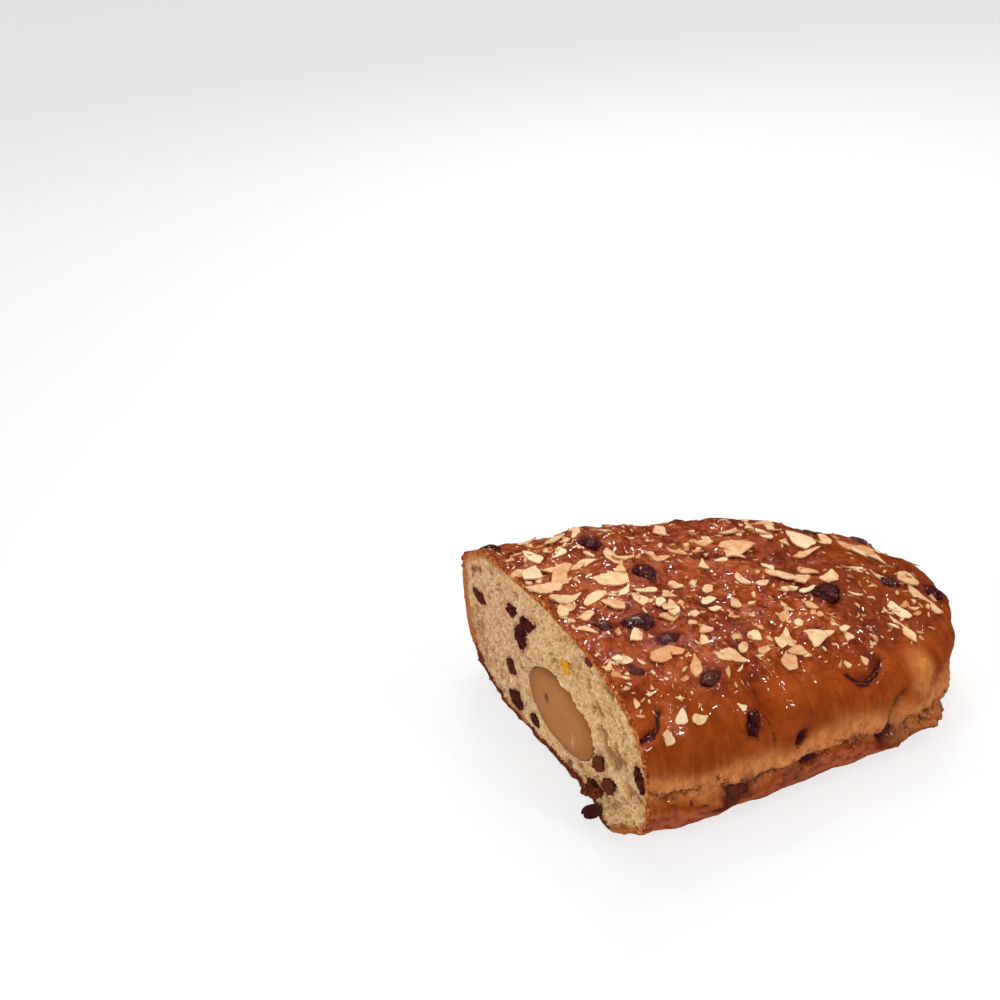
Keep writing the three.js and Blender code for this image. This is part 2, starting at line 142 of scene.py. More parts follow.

# Finer folds of the crust that the solid leaves out: depth, half width, darkness of their painted shade, run
FINE_CREASES = [
    (0.9, 0.5, 0.8, [(103, 182), (105, 180), (108, 177)]),
    (1, 0.6, 0.8, [(118, 183), (121, 181), (122, 175)]),
    (0.9, 0.7, 0.35, [(10, 189), (16, 192), (19, 190)]),
    (1, 0.7, 0.4, [(22, 197), (27, 200), (30, 205)]),
    (0.8, 0.6, 0.3, [(56, 189), (62, 192), (69, 190)]),
    (1, 0.6, 0.35, [(112, 176), (118, 184), (121, 190)]),
    (0.9, 0.6, 0.3, [(124, 170), (128, 180), (130, 190)]),
    (0.9, 0.6, 0.3, [(134, 176), (138, 186), (139, 197)]),
    (0.8, 0.6, 0.3, [(108, 192), (116, 196), (124, 194)]),
    (0.8, 0.6, 0.25, [(114, 199), (122, 203), (130, 200)]),
    (0.8, 0.45, 0.5, [(50, 142), (51, 150), (50.5, 160), (52, 170), (53, 180)]),
    (0.6, 0.8, 0.2, [(96, 135), (99, 142), (101, 150)]),
    (0.5, 0.8, 0.15, [(57, 128), (60, 140), (60, 152)]),
    (1.3, 0.9, 1, [(70, 84.5), (75, 85.6), (80, 86.4), (84, 87)]),
    (0.8, 0.6, 0.6, [(33, 117), (38, 119), (44, 118)]),
    (0.7, 0.6, 0.5, [(49, 110), (55, 117), (53, 124)]),
    (0.7, 0.6, 0.3, [(112, 68), (118, 66), (124, 64)]),
    (0.7, 0.8, 0.25, [(50, 90), (57, 88), (64, 89)]),
]

# ---- Raisins, peel and almond paste ----

# Raisins in the crust, as their solids have them: along, round, long, wide, how far they stand proud, turn
CRUST_RAISINS = [
    (6.5, 50, 11, 7, 1.8, 60), (37.5, 71, 9, 8, 1.6, 80), (46, 88, 10, 9, 2.4, 60), (25, 107, 12, 8, 2, 10),
    (13.5, 104, 6, 5, 0.6, 100), (32, 115, 9, 5, 0.6, 10), (13, 126, 6, 4.5, 0.4, 0),
    (36, 138, 9, 5, 0.3, 10), (102.5, 108.5, 11, 10, 5, 130), (137, 104, 9, 7, 2.2, 120),
    (152, 126, 12, 9, 0.8, 70), (149, 66, 7, 6, 1.2, 0), (134, 57, 10, 6.5, 1.2, 100),
    (45.5, 165, 10, 5.5, 0.3, 75), (63, 180, 8, 4, 0.2, 80), (37, 191, 12, 8, 0.4, 175),
    (67.5, 188, 8, 4, 0.2, 160), (101, 190, 8.5, 7, 0.4, 60), (28, 12, 9, 6.5, 0.8, 20),
    (60, 349, 8, 6, 0.5, 60), (88, 24, 11, 8, 1.8, 120), (112, 357, 9, 6, 0.6, 15), (130, 18, 8, 7, 1.4, 0),
]

# Raisins at the cut: across, up, wide, high, turn in the cut towards the near side, way into the crumb
CUT_RAISINS = [
    (56, 41.5, 10, 5.5, 5, 0.5), (26, 51, 9, 5.5, -30, 0.4), (31.5, 22, 8, 6.5, -10, 1),
    (29.5, 7.4, 12, 6.5, 0, 0.6), (14, 7.6, 8, 5, 0, 0.8), (-34, 62.8, 5.5, 3.6, -35, 0.5),
    (-35.5, 19.8, 11, 5.6, -40, 0.7), (-42, 14.2, 11, 6, -38, 0.7), (-64.3, 32, 5, 10.5, -20, 0.4),
    (-30, 6.5, 7, 4.6, -10, 0.6),
]
JOINED_RAISINS = [(19.8, 43, 8, 15, 22, 0.4), (14.6, 51, 12, 6, -30, 0.4)]
LOOSE_RAISIN = (-39.5, 3.4, 6, 4.8, 0, -5)
# Where the foot of the cut sticks out: across, up, half wide, half high, how far
FOOT_EDGE = (-47, 1, 13, 6, 4)
# Crumbs of crust that hang at the foot of the cut: across, up, wide, high, way into the crumb
CRUST_CRUMBS = [(-32.5, 6.6, 6.5, 3.4, -1.6), (-36, 7.6, 5, 3, -0.4)]
# Edges of raisins that show along slits in the crust: radius, run
RAISIN_EDGES = [
    (0.95, [(1.5, 158.5), (6, 158), (10, 153.5), (13, 146)]),
    (0.55, [(88, 151), (90, 158), (93.5, 161.5), (98, 156.5), (103, 148)]),
]
# By their number in the crust: how much glaze veils a raisin, its size against its solid's, and how far it
# lies off its solid: along, round, how far it stands proud
VEILED_RAISINS = {16: 0.75, 8: 0.3, 7: 0.05, 5: 0.1, 18: 0.3}
RAISIN_SHARES = {9: 0.85, 1: 1.15}
SHIFTED_RAISINS = {3: (-2, 1.4, -0.3), 1: (-1, 0, 0.5), 5: (0, 0, 0.3), 7: (0, 0, 0.4)}
# By their number at the cut: how brown a raisin is where it is cut
BROWN_RAISINS = {7: 0.9, 8: 0.8, 3: 0.4, 1: 0.35, 5: 0.3, 6: 0.9}
RAISIN_THICKNESS = 0.78
CUT_RAISIN_DEPTH = 7
CRUST_PEEL = (118, 165, 12, 7, 0.6, 80)         # as its solid has it
SEEN_PEEL = (117.5, 169, 12, 6, 0.45, 80)       # the part of it that the crust leaves open
CUT_PEEL = (-15.3, 50, 5.2, 6.8, 25, 0.8)
# The roll of almond paste, whose rounded nose is as long as it says
PASTE = {"across": -7.5, "up": 24.3, "half_wide": 23.8, "half_high": 15.2, "end": 138, "nose": 22}
GAP = 0.35                     # between the roll and the crumb

# ---- Flaked almonds ----

# Large flakes, as the solid has them: along, round, long, wide, turn
LARGE_FLAKES = [
    (123, 75, 16, 11, 90), (141, 124, 17, 6, 97), (143, 80, 16, 9, 125), (91, 84, 14, 11, 0),
    (93, 94.5, 14, 9, 145), (32, 89, 14, 9, 150), (15, 86, 15, 6, 65), (121, 134, 15, 4, 97),
    (147, 105, 13, 8, 60), (108, 75, 13, 5, 85), (6.5, 88.5, 13, 6, 10), (40, 81.5, 12, 5, 85),
    (14, 72, 12, 5, 100), (27, 122, 12, 6, 0), (48, 130, 11, 5, 160), (127, 122, 11, 5, 95),
    (86, 129, 10, 8, 0), (100, 97.5, 10, 7, 20), (4, 81, 10, 5, 0), (20, 91.5, 10, 4, 20),
    (24, 95.5, 9, 7, 135), (28, 59, 9, 7, 0), (113, 97, 9, 7, 60), (74, 125, 9, 7, 60),
    (108, 92, 9, 5, 100), (97, 69, 9, 7, 45), (55, 84, 9, 8, 120), (66, 82, 8, 5, 130),
    (45, 97, 7, 5, 60),
]
# Each large flake's kind, and how toasted some of them are
LARGE_KINDS = [
    0, 10, 0, 1, 0, 5, 8, 1, 10, 0, 4, 10, 0, 2, 7, 8, 9, 5, 3, 10, 1, 3, 6, 9, 3, 6, 9, 5, 7,
]
TOASTED_FLAKES = {13: 0.75, 20: 0.6, 24: 0.6, 11: 0.25}
# The solid's small flakes: how many, the tries to place them, their lengths, their widths against their
# lengths, and where they lie
SMALL_FLAKES = 14
SMALL_FLAKE_TRIES = 4000
SMALL_FLAKE_LONG = (6, 9)
SMALL_FLAKE_WIDE = (0.45, 0.8)
FLAKED_ALONG = (4, 154)
FLAKED_ROUND = (38, 138)
SEED = 7

# Broken flakes between the large ones, in the same form
BROKEN_FLAKES = [
    (23, 74, 8, 6, 70), (25, 82, 8, 3, 10), (36, 61, 9, 4, 80), (120, 85, 13, 3, 10), (141, 86, 8, 5, 120),
    (83, 98, 5, 4, 0), (78, 94, 9, 4, 95), (85, 87, 9, 4, 110), (100, 103, 6, 3, 15), (41, 104, 8, 4, 75),
    (57, 106, 5, 3, 20), (66, 105, 6, 4, 70), (47, 108, 4, 3, 0), (21, 112, 6, 4, 60), (33, 131, 9, 4, 75),
    (63, 122, 5, 5, 40), (74, 133, 7, 4, 165), (95, 129, 4, 3, 0), (82, 120, 4, 3, 60), (92, 113, 6, 4, 80),
    (91, 102, 8, 3, 10), (145, 88, 12, 4, 120), (135, 98, 7, 5, 110), (160, 85, 10, 3, 95),
    (26, 155, 6, 4, 10), (43, 155, 3, 3, 0), (8, 92, 7, 4, 160), (38, 94, 8, 3, 170), (62, 130, 5, 3, 0),
    (54, 128, 6, 3, 40), (70, 128, 5, 4, 100), (97, 104, 6, 3, 0), (71, 88, 6, 4, 70), (79, 88, 5, 4, 40),
    (8, 82, 13, 7, 60), (10, 90, 13, 5, 15), (17, 83, 11, 6, 0), (30, 92, 9, 4, 30), (38, 87, 8, 4, 60),
    (43, 83, 8, 4, 140), (5, 94, 8, 4, 70), (33, 97, 7, 4, 110), (12, 97, 7, 4, 30), (62, 96, 7, 4, 40),
    (52, 92, 6, 4, 100), (58, 101, 6, 3, 10), (116, 66, 9, 5, 80), (84, 75, 8, 4, 60), (134, 72, 9, 5, 100),
    (19.5, 152, 6, 4, 60), (11.5, 160, 5, 3.5, 100),
]

# ---- Pores of the crumb ----

# Larger pores at the cut: across, up, long, wide, turn, depth
NAMED_PORES = [
    (-45.5, 57, 9, 5, 15, 1.6), (-38, 44, 8, 4, 20, 1), (-46, 30, 18, 8, -10, 1), (-64, 56, 3, 2, 0, 2.2),
    (-33, 43, 3, 1.6, 10, 2), (-36, 35, 2.6, 1.6, 0, 2), (38, 39, 6, 2, 30, 1.2), (1, 58, 5, 1.5, 60, 1.6),
    (38, 16, 4, 1.6, 20, 1.2), (-54, 56, 3, 2, 0, 1.8), (47, 46, 3, 2, 0, 1.4), (-48, 47, 5, 2.4, 25, 1),
    (22, 28, 3, 1.4, 0, 1.2), (42, 11, 3, 1.2, 0, 1), (58, 24, 16, 9, -60, 1.4), (-55, 46, 6, 3, 40, 0.8),
]
# Layers of pores all over: cell size, share of cells that are open, depth
PORE_LAYERS = [(4.6, 0.4, 1.3), (2.3, 0.5, 0.9), (1.15, 0.6, 0.5)]

# Brown smears at the cut, where the fruit stained the crumb or the crust folds in:
# across, up, long, wide, turn, how brown
STAINS = [
    (56, 54, 18, 4, -28, 0.9), (22, 60, 9, 5, -20, 0.5), (55, 15, 14, 14, 0, 0.5),
    (62, 24, 8, 10, 30, 0.45), (56, 41, 13, 8, 0, 0.35), (14, 47, 12, 6, -20, 0.35),
    (-47, 66, 8, 2.5, 10, 0.8), (-33, 66, 4, 3, 40, 0.8), (-63, 57, 5, 4, 0, 0.6),
    (-53, 57, 4, 2.5, 0, 0.6), (-50, 53, 1.6, 8, 0, 0.4), (-62, 34, 8, 8, 0, 0.4),
    (-32, 8, 12, 9, -30, 0.6), (-15, 3.5, 12, 4, 0, 0.7), (29, 7, 16, 9, 0, 0.4),
    (-39, 17, 13, 12, -40, 0.35), (38, 39, 8, 5, 0, 0.3), (-46, 31, 20, 9, -10, 0.22),
]


# ---- Small helpers ----

def srgb(red, green, blue):
    """A colour as seen, 0 to 255, as the linear values that Blender takes"""
    def linear(value):
        share = value / 255
        return share / 12.92 if share <= 0.04045 else ((share + 0.055) / 1.055) ** 2.4
    return (linear(red), linear(green), linear(blue))


def seeded_draw(seed):
    """Even draws from 0 to 1 that are the same each time, and the same as the solid's"""
    state = seed

    def draw():
        nonlocal state
        state = (state * 1664525 + 1013904223) % 2 ** 32
        return state / 2 ** 32
    return draw


def smooth_step(low, high, value):
    way = np.clip((value - low) / (high - low), 0, 1)
    return way * way * (3 - 2 * way)


def signed_power(value, exponent):
    """A power that keeps the value's sign"""
    return np.sign(value) * np.abs(value) ** exponent


def fall_off(u, start, bend, root):
    """1 up to the start, then falling to 0 at the tip"""
    way = np.clip((u - start) / (1 - start), 0, 1)
    return (1 - way ** bend) ** (1 / root)


def plateau(value, rise, fall):
    """1 between the rise and the fall, each a pair of values with a smooth step between them"""
    return smooth_step(*rise, value) * (1 - smooth_step(*fall, value))


def soft_hill(distance, half):
    """1 at the middle of a bump or crease, 0 from twice its half width outwards"""
    way = np.clip(distance / (2 * half), 0, 1)
    return (1 - way * way) ** 2


def length_of(vectors):
    return np.linalg.norm(vectors, axis=-1)


def joined(*parts):
    """Points or vectors from their coordinates, each an array or one number"""
    return np.stack(np.broadcast_arrays(*parts), axis=-1)


def grain(points, size, octaves=3, seed=0):
    """Smooth noise of about -1 to 1 at the points, with features of the given size"""
    scaled = (points / size + seed * 7.31).tolist()
    return np.array([noise.fractal(p, 1.0, 2.0, octaves) for p in scaled])


def ridges(points, size, octaves, seed):
    """Sharp ridges of about 0 to 1 at the points"""
    scaled = (points / size + seed * 5.17).tolist()
    return np.array([noise.ridged_multi_fractal(p, 1.0, 2.1, octaves, 1.0, 2.0) for p in scaled]) / 2


# ---- The crust's form ----

def smooth_form(along, turn):
    """Points of the loaf's smooth form, with turn in radians"""
    along, turn = np.broadcast_arrays(np.asarray(along, float), np.asarray(turn, float))
    u = np.minimum(along / LENGTH, 1)
    c = np.cos(turn)
    s = np.sin(turn)
    far = c >= 0

    def side(key):
        return np.where(far, FAR_SIDE[key], NEAR_SIDE[key])

    height = HEIGHT * (1 - HEIGHT_DROP * u)
    waist = WAIST * height
    fall = np.where(far, fall_off(u, *FAR_SIDE["fall"]), fall_off(u, *NEAR_SIDE["fall"]))
    half = 0.5 * WIDTH * (1 - side("taper") * u) * fall
    rise = (height - waist) * fall_off(u, *CROWN_FALL)
    drop = (waist + PRESS) * fall_off(u, *FOOT_FALL)
    upper_y = half * signed_power(c, 2 / side("upper"))
    upper_z = waist + rise * np.maximum(s, 0) ** (2 / side("upper"))
    lower_y = half * signed_power(c, 2 / side("lower")) * (1 - side("foot") * s * s)
    lower_z = np.maximum(0, waist - drop * np.maximum(-s, 0) ** (2 / side("lower")))
    y = np.where(s >= 0, upper_y, lower_y)
    z = np.where(s >= 0, upper_z, lower_z)
    x = along + END_SLANT * y * u * u + CUT_SLANT * y * (1 - u) ** 2
    return joined(x, y, z)


def outward(along, turn):
    """Outward directions of the smooth form"""
    along, turn = np.broadcast_arrays(along, turn)
    step = 0.4
    twist = 0.02
    back = np.minimum(along, LENGTH - 2 * step)
    lengthwise = smooth_form(back + step, turn) - smooth_form(back - step, turn)
    crosswise = smooth_form(back, turn + twist) - smooth_form(back, turn - twist)
    normal = np.cross(crosswise, lengthwise)
    return normal / np.maximum(length_of(normal), 1e-9)[..., None]


def lumps(points):
    """Height of the loaf's broad lumps"""
    total = np.zeros(len(points))
    for i in range(LUMP_WAVES):
        heading = i * GOLDEN_ANGLE
        wave = 2 * math.pi / (LUMP_LONGEST * LUMP_SHORTENING ** i)
        way = points @ np.array([math.cos(heading), math.sin(heading), math.cos(i)])
        total += LUMP_SHORTENING ** i * np.sin(wave * way + i)
    return LUMP_HEIGHT * total * np.clip(points[:, 2] / LUMP_FADE, 0, 1)


def forward_edge(across, up):
    """How far the foot of the cut sticks out, where crumbs of the crust hang on"""
    middle_across, middle_up, half_wide, half_high, reach = FOOT_EDGE
    away = np.hypot((across - middle_across) / half_wide, (up - middle_up) / half_high)
    return reach * soft_hill(away, 0.75)


def on_form(along, around):
    return smooth_form(along, math.radians(around))


def distance_to_place(points, along, around):
    """Distances from the points to a place on the form"""
    return length_of(points - on_form(along, around))


def swollen(points, swellings):
    """How far swellings lift the points"""
    height = np.zeros(len(points))
    for along, around, radius, rise in swellings:
        height += rise * soft_hill(distance_to_place(points, along, around), radius / 1.4)
    return height


def run_in_space(run):
    """A crease's run as points on the form, with a middle point in each stretch"""
    places = [run[0]]
    for before, after in zip(run, run[1:]):
        places.append(((before[0] + after[0]) / 2, (before[1] + after[1]) / 2))
        places.append(after)
    return [on_form(*place) for place in places]


def distance_to_run(points, run):
    """Distances from the points to a run of points in space"""
    least = np.full(len(points), np.inf)
    for start, end in zip(run, run[1:]):
        stretch = end - start
        share = np.clip((points - start) @ stretch / (stretch @ stretch), 0, 1)
        nearest = start + share[:, None] * stretch
        least = np.minimum(least, length_of(points - nearest))
    return least


def solid_relief(points):
    """The relief that the solid has: lumps, swellings and creases"""
    height = lumps(points) + swollen(points, SWELLINGS)
    for depth, half, _, run in CREASES:
        height -= depth * soft_hill(distance_to_run(points, run_in_space(run)), half)
    return height


def crust_points(along, turn):
    """Points of the solid's crust"""
    points = smooth_form(along, turn)
    flat = points.reshape(-1, 3)
    lift = np.where(flat[:, 2] > 0, solid_relief(flat), 0)
    moved = flat + outward(along, turn).reshape(-1, 3) * lift[:, None]
    moved[:, 2] = np.maximum(moved[:, 2], 0)
    return moved.reshape(points.shape)


def crust_point(along, around):
    """One place on the solid's crust"""
    return crust_points(along, math.radians(around))


def crust_frame(along, around, turn):
    """A place on the crust and its directions: lengthwise turned, crosswise, outwards"""
    out = outward(along, math.radians(around))
    lengthwise = np.array([1.0, 0, 0]) - out * out[0]
    lengthwise /= np.linalg.norm(lengthwise)
    crosswise = np.cross(out, lengthwise)
    swing = math.radians(turn)
    first = math.cos(swing) * lengthwise + math.sin(swing) * crosswise
    return crust_point(along, around), np.array([first, np.cross(out, first), out])


def frame_shift():
    """How the cut's frame lies in the shared frame, read from the roll of almond paste"""
    low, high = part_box("almond_paste")
    return np.array([high.x / MM - PASTE["end"], (low.y + high.y) / 2 / MM - PASTE["across"], 0])


SHIFT = frame_shift()


def to_frame(points):
    return (np.asarray(points) + SHIFT) * MM


def to_cut(points):
    return np.asarray(points) / MM - SHIFT


# ---- Mesh helpers ----

def start_fresh():
    """Leaves edit mode, with nothing selected"""
    if bpy.context.object and bpy.context.object.mode != "OBJECT":
        bpy.ops.object.mode_set(mode="OBJECT")
    bpy.ops.object.select_all(action="DESELECT")


def select_only(piece):
    start_fresh()
    bpy.context.view_layer.objects.active = piece
    piece.select_set(True)


def named(name):
    """The object just added, under its own name"""
    piece = bpy.context.object
    piece.name = name
    piece.data.name = name
    return piece


def coordinates(piece):
    flat = np.zeros(len(piece.data.vertices) * 3)
    piece.data.vertices.foreach_get("co", flat)
    return flat.reshape(-1, 3)


def set_coordinates(piece, points):
    piece.data.vertices.foreach_set("co", np.asarray(points, np.float32).ravel())
    piece.data.update()


def set_attributes(piece, **fields):
    """Stores each field's values, or its one value, on the piece's vertices"""
    count = len(piece.data.vertices)
    for name, values in fields.items():
        kind, key = ("FLOAT_VECTOR", "vector") if np.ndim(values) == 2 else ("FLOAT", "value")
        layer = piece.data.attributes.get(name) or piece.data.attributes.new(name, kind, "POINT")
        values = np.full(count, values) if np.ndim(values) == 0 else values
        layer.data.foreach_set(key, np.asarray(values, np.float32).ravel())


def edit_all(piece):
    select_only(piece)
    bpy.ops.object.mode_set(mode="EDIT")
    bpy.ops.mesh.select_all(action="SELECT")


def select_border():
    """Selects the open edges of the piece in edit mode"""
    bpy.ops.mesh.select_mode(type="EDGE")
    bpy.ops.mesh.select_all(action="DESELECT")
    bpy.ops.mesh.select_non_manifold()


def cap_and_turn_outwards():
    """Closes the selected border with a face, turns all faces outwards and leaves edit mode"""
    bpy.ops.mesh.edge_face_add()
    bpy.ops.mesh.select_mode(type="VERT")
    bpy.ops.mesh.select_all(action="SELECT")
    bpy.ops.mesh.normals_make_consistent(inside=False)
    bpy.ops.object.mode_set(mode="OBJECT")


def close_and_smooth(piece):
    """Merges the seams and poles, turns the faces outwards and shades them smooth"""
    edit_all(piece)
    bpy.ops.mesh.remove_doubles(threshold=MERGE)
    bpy.ops.mesh.normals_make_consistent(inside=False)
    bpy.ops.object.mode_set(mode="OBJECT")
    bpy.ops.object.shade_smooth()


def smooth_by_angle(piece, degrees):
    select_only(piece)
    bpy.ops.object.shade_smooth_by_angle(angle=math.radians(degrees))


def apply_modifier(piece, kind, **settings):
    select_only(piece)
    modifier = piece.modifiers.new(kind.title(), kind)
    for key, value in settings.items():
        setattr(modifier, key, value)
    bpy.ops.object.modifier_apply(modifier=modifier.name)


def remove(piece):
    start_fresh()
    piece.select_set(True)
    bpy.ops.object.delete()


def join(pieces, name):
    start_fresh()
    for piece in pieces:
        piece.select_set(True)
    bpy.context.view_layer.objects.active = pieces[0]
    bpy.ops.object.join()
    return named(name)


def finish_piece(piece, finish, slot, *nodes):
    """Gives a piece its finish, its body and the solids that it stands for"""
    piece.data.materials.clear()
    piece.data.materials.append(finish)
    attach(piece, "root")
    if nodes:
        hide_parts(*nodes)


# ---- Material helpers ----

class Wiring:
    """Short calls that wire one material"""

    def __init__(self, name, **constants):
        self.material = bpy.data.materials.new(name)
        self.material.use_nodes = True
        self.tree = self.material.node_tree
        self.tree.nodes.clear()
        output = self.tree.nodes.new("ShaderNodeOutputMaterial")
        self.shader = self.tree.nodes.new("ShaderNodeBsdfPrincipled")
        self.tree.links.new(self.shader.outputs["BSDF"], output.inputs["Surface"])
        for socket, value in constants.items():
            self.feed(self.shader, socket.replace("_", " "), value)
        self.place = self.tree.nodes.new("ShaderNodeTexCoord").outputs["Object"]

    def feed(self, node, socket, value):
        """Links an output to the socket, or sets the socket's own value"""
        target = node.inputs[socket]
        if isinstance(value, bpy.types.NodeSocket):
            self.tree.links.new(value, target)
        elif value is not None:
            target.default_value = (*value, 1) if target.type == "RGBA" else value

    def node(self, kind, inputs, **settings):
        """A shader node with its settings and what goes into its sockets"""
        node = self.tree.nodes.new("ShaderNode" + kind)
        for key, value in settings.items():
            setattr(node, key, value)
        for socket, value in inputs.items():
            self.feed(node, socket, value)
        return node

    def vectors(self, name):
        """An attribute that holds a vector for each vertex"""
        return self.node("Attribute", {}, attribute_name=name).outputs["Vector"]

    def attributes(self, *names):
        """Attributes that hold a number for each vertex"""
        return [self.node("Attribute", {}, attribute_name=name).outputs["Fac"] for name in names]

    def stretched(self, source, scale):
        return self.node("Mapping", {"Vector": source, "Scale": scale}).outputs[0]

    def noise(self, size, detail=3, roughness=0.5, place=None):
        """Noise with features of the given size in mm"""
        return self.node("TexNoise", {"Vector": place or self.place, "Scale": 1 / (size * MM),
                                      "Detail": detail, "Roughness": roughness}).outputs["Fac"]

    def cells(self, size, place=None):
        """Distance from the middle of cells of the given size in mm"""
        return self.node("TexVoronoi", {"Vector": place or self.place,
                                        "Scale": 1 / (size * MM)}).outputs["Distance"]

    def math(self, operation, first, second=None):
        return self.node("Math", {0: first, 1: second}, operation=operation).outputs[0]

    def times(self, first, second):
        return self.math("MULTIPLY", first, second)

    def plus(self, first, second):
        return self.math("ADD", first, second)

    def swing(self, value, reach):
        """A value of 0 to 1 brought to swing about 0, over so much in all"""
        return self.times(self.math("SUBTRACT", value, 0.5), reach)

    def spread(self, value, low, high, to_low=0.0, to_high=1.0):
        """A value brought from low..high to to_low..to_high, smoothly and within bounds"""
        inputs = dict(enumerate((value, low, high, to_low, to_high)))
        return self.node("MapRange", inputs, interpolation_type="SMOOTHSTEP").outputs[0]

    def mix(self, share, first, second):
        return self.node("Mix", {0: share, 6: first, 7: second}, data_type="RGBA").outputs[2]

    def layers(self, colour, *layers):
        """A colour with others laid over it, each with the share that it takes"""
        for share, over in layers:
            colour = self.mix(share, colour, over)
        return colour

    def bump(self, height, distance, strength=1.0):
        """A bump of the given height in mm"""
        return self.node("Bump", {"Height": height, "Distance": distance * MM,
                                  "Strength": strength}).outputs[0]

    def paint(self, **sockets):
        for socket, value in sockets.items():
            self.feed(self.shader, socket.replace("_", " "), value)
        return self.material


# ---- Settings ----

def length_setting(name, description, length):
    return FloatProperty(name=name, description=description, default=length * MM, unit="LENGTH")


def count_setting(name, description, count):
    return IntProperty(name=name, description=description, default=count, min=0)


def colour_setting(name, description, *colour):
    """A colour, given as seen and kept as linear values"""
    return FloatVectorProperty(name=name, description=description, default=srgb(*colour), subtype="COLOR")


class StollenSizes(bpy.types.PropertyGroup):
    """Sizes of what the solids leave out"""

    rim_thickness: length_setting("Rim thickness", "Thickness of the crust where the loaf is cut", 1.1)
    crust_thickness: length_setting("Crust thickness", "Thickness of the crust away from the cut", 4.5)
    blister_height: length_setting(
        "Blister height", "Height of the fine unevenness of the glazed crust", 0.16)
    flake_thickness: length_setting("Flake thickness", "Thickness of a flaked almond", 0.55)
    fragments: count_setting("Fragments", "How many small bits of almond lie on the crown", 620)
    broken_flakes: count_setting(
        "Broken flakes", "How many more broken flakes lie between the large ones", 34)


class StollenColours(bpy.types.PropertyGroup):
    """Colours of the loaf"""

    crown: colour_setting("Crown", "Crust on the crown, baked most", 142, 58, 27)
    flank: colour_setting("Flank", "Crust on the flanks", 150, 66, 20)
    seam: colour_setting("Seam", "Pale crust that opened in the oven", 220, 148, 90)
    foot: colour_setting("Foot", "Crust between the seam and the tray", 172, 90, 54)
    crumb: colour_setting("Crumb", "Bread crumb at the cut", 226, 182, 128)
    paste: colour_setting("Almond paste", "Baked almond paste", 182, 122, 72)
    raisin: colour_setting("Raisin", "Skin of a raisin", 52, 16, 19)
    peel: colour_setting("Peel", "Candied peel", 228, 170, 36)
    almond: colour_setting("Almond", "Flaked almond", 234, 206, 166)


# ---- Finishes ----

BURNT = srgb(84, 24, 8)


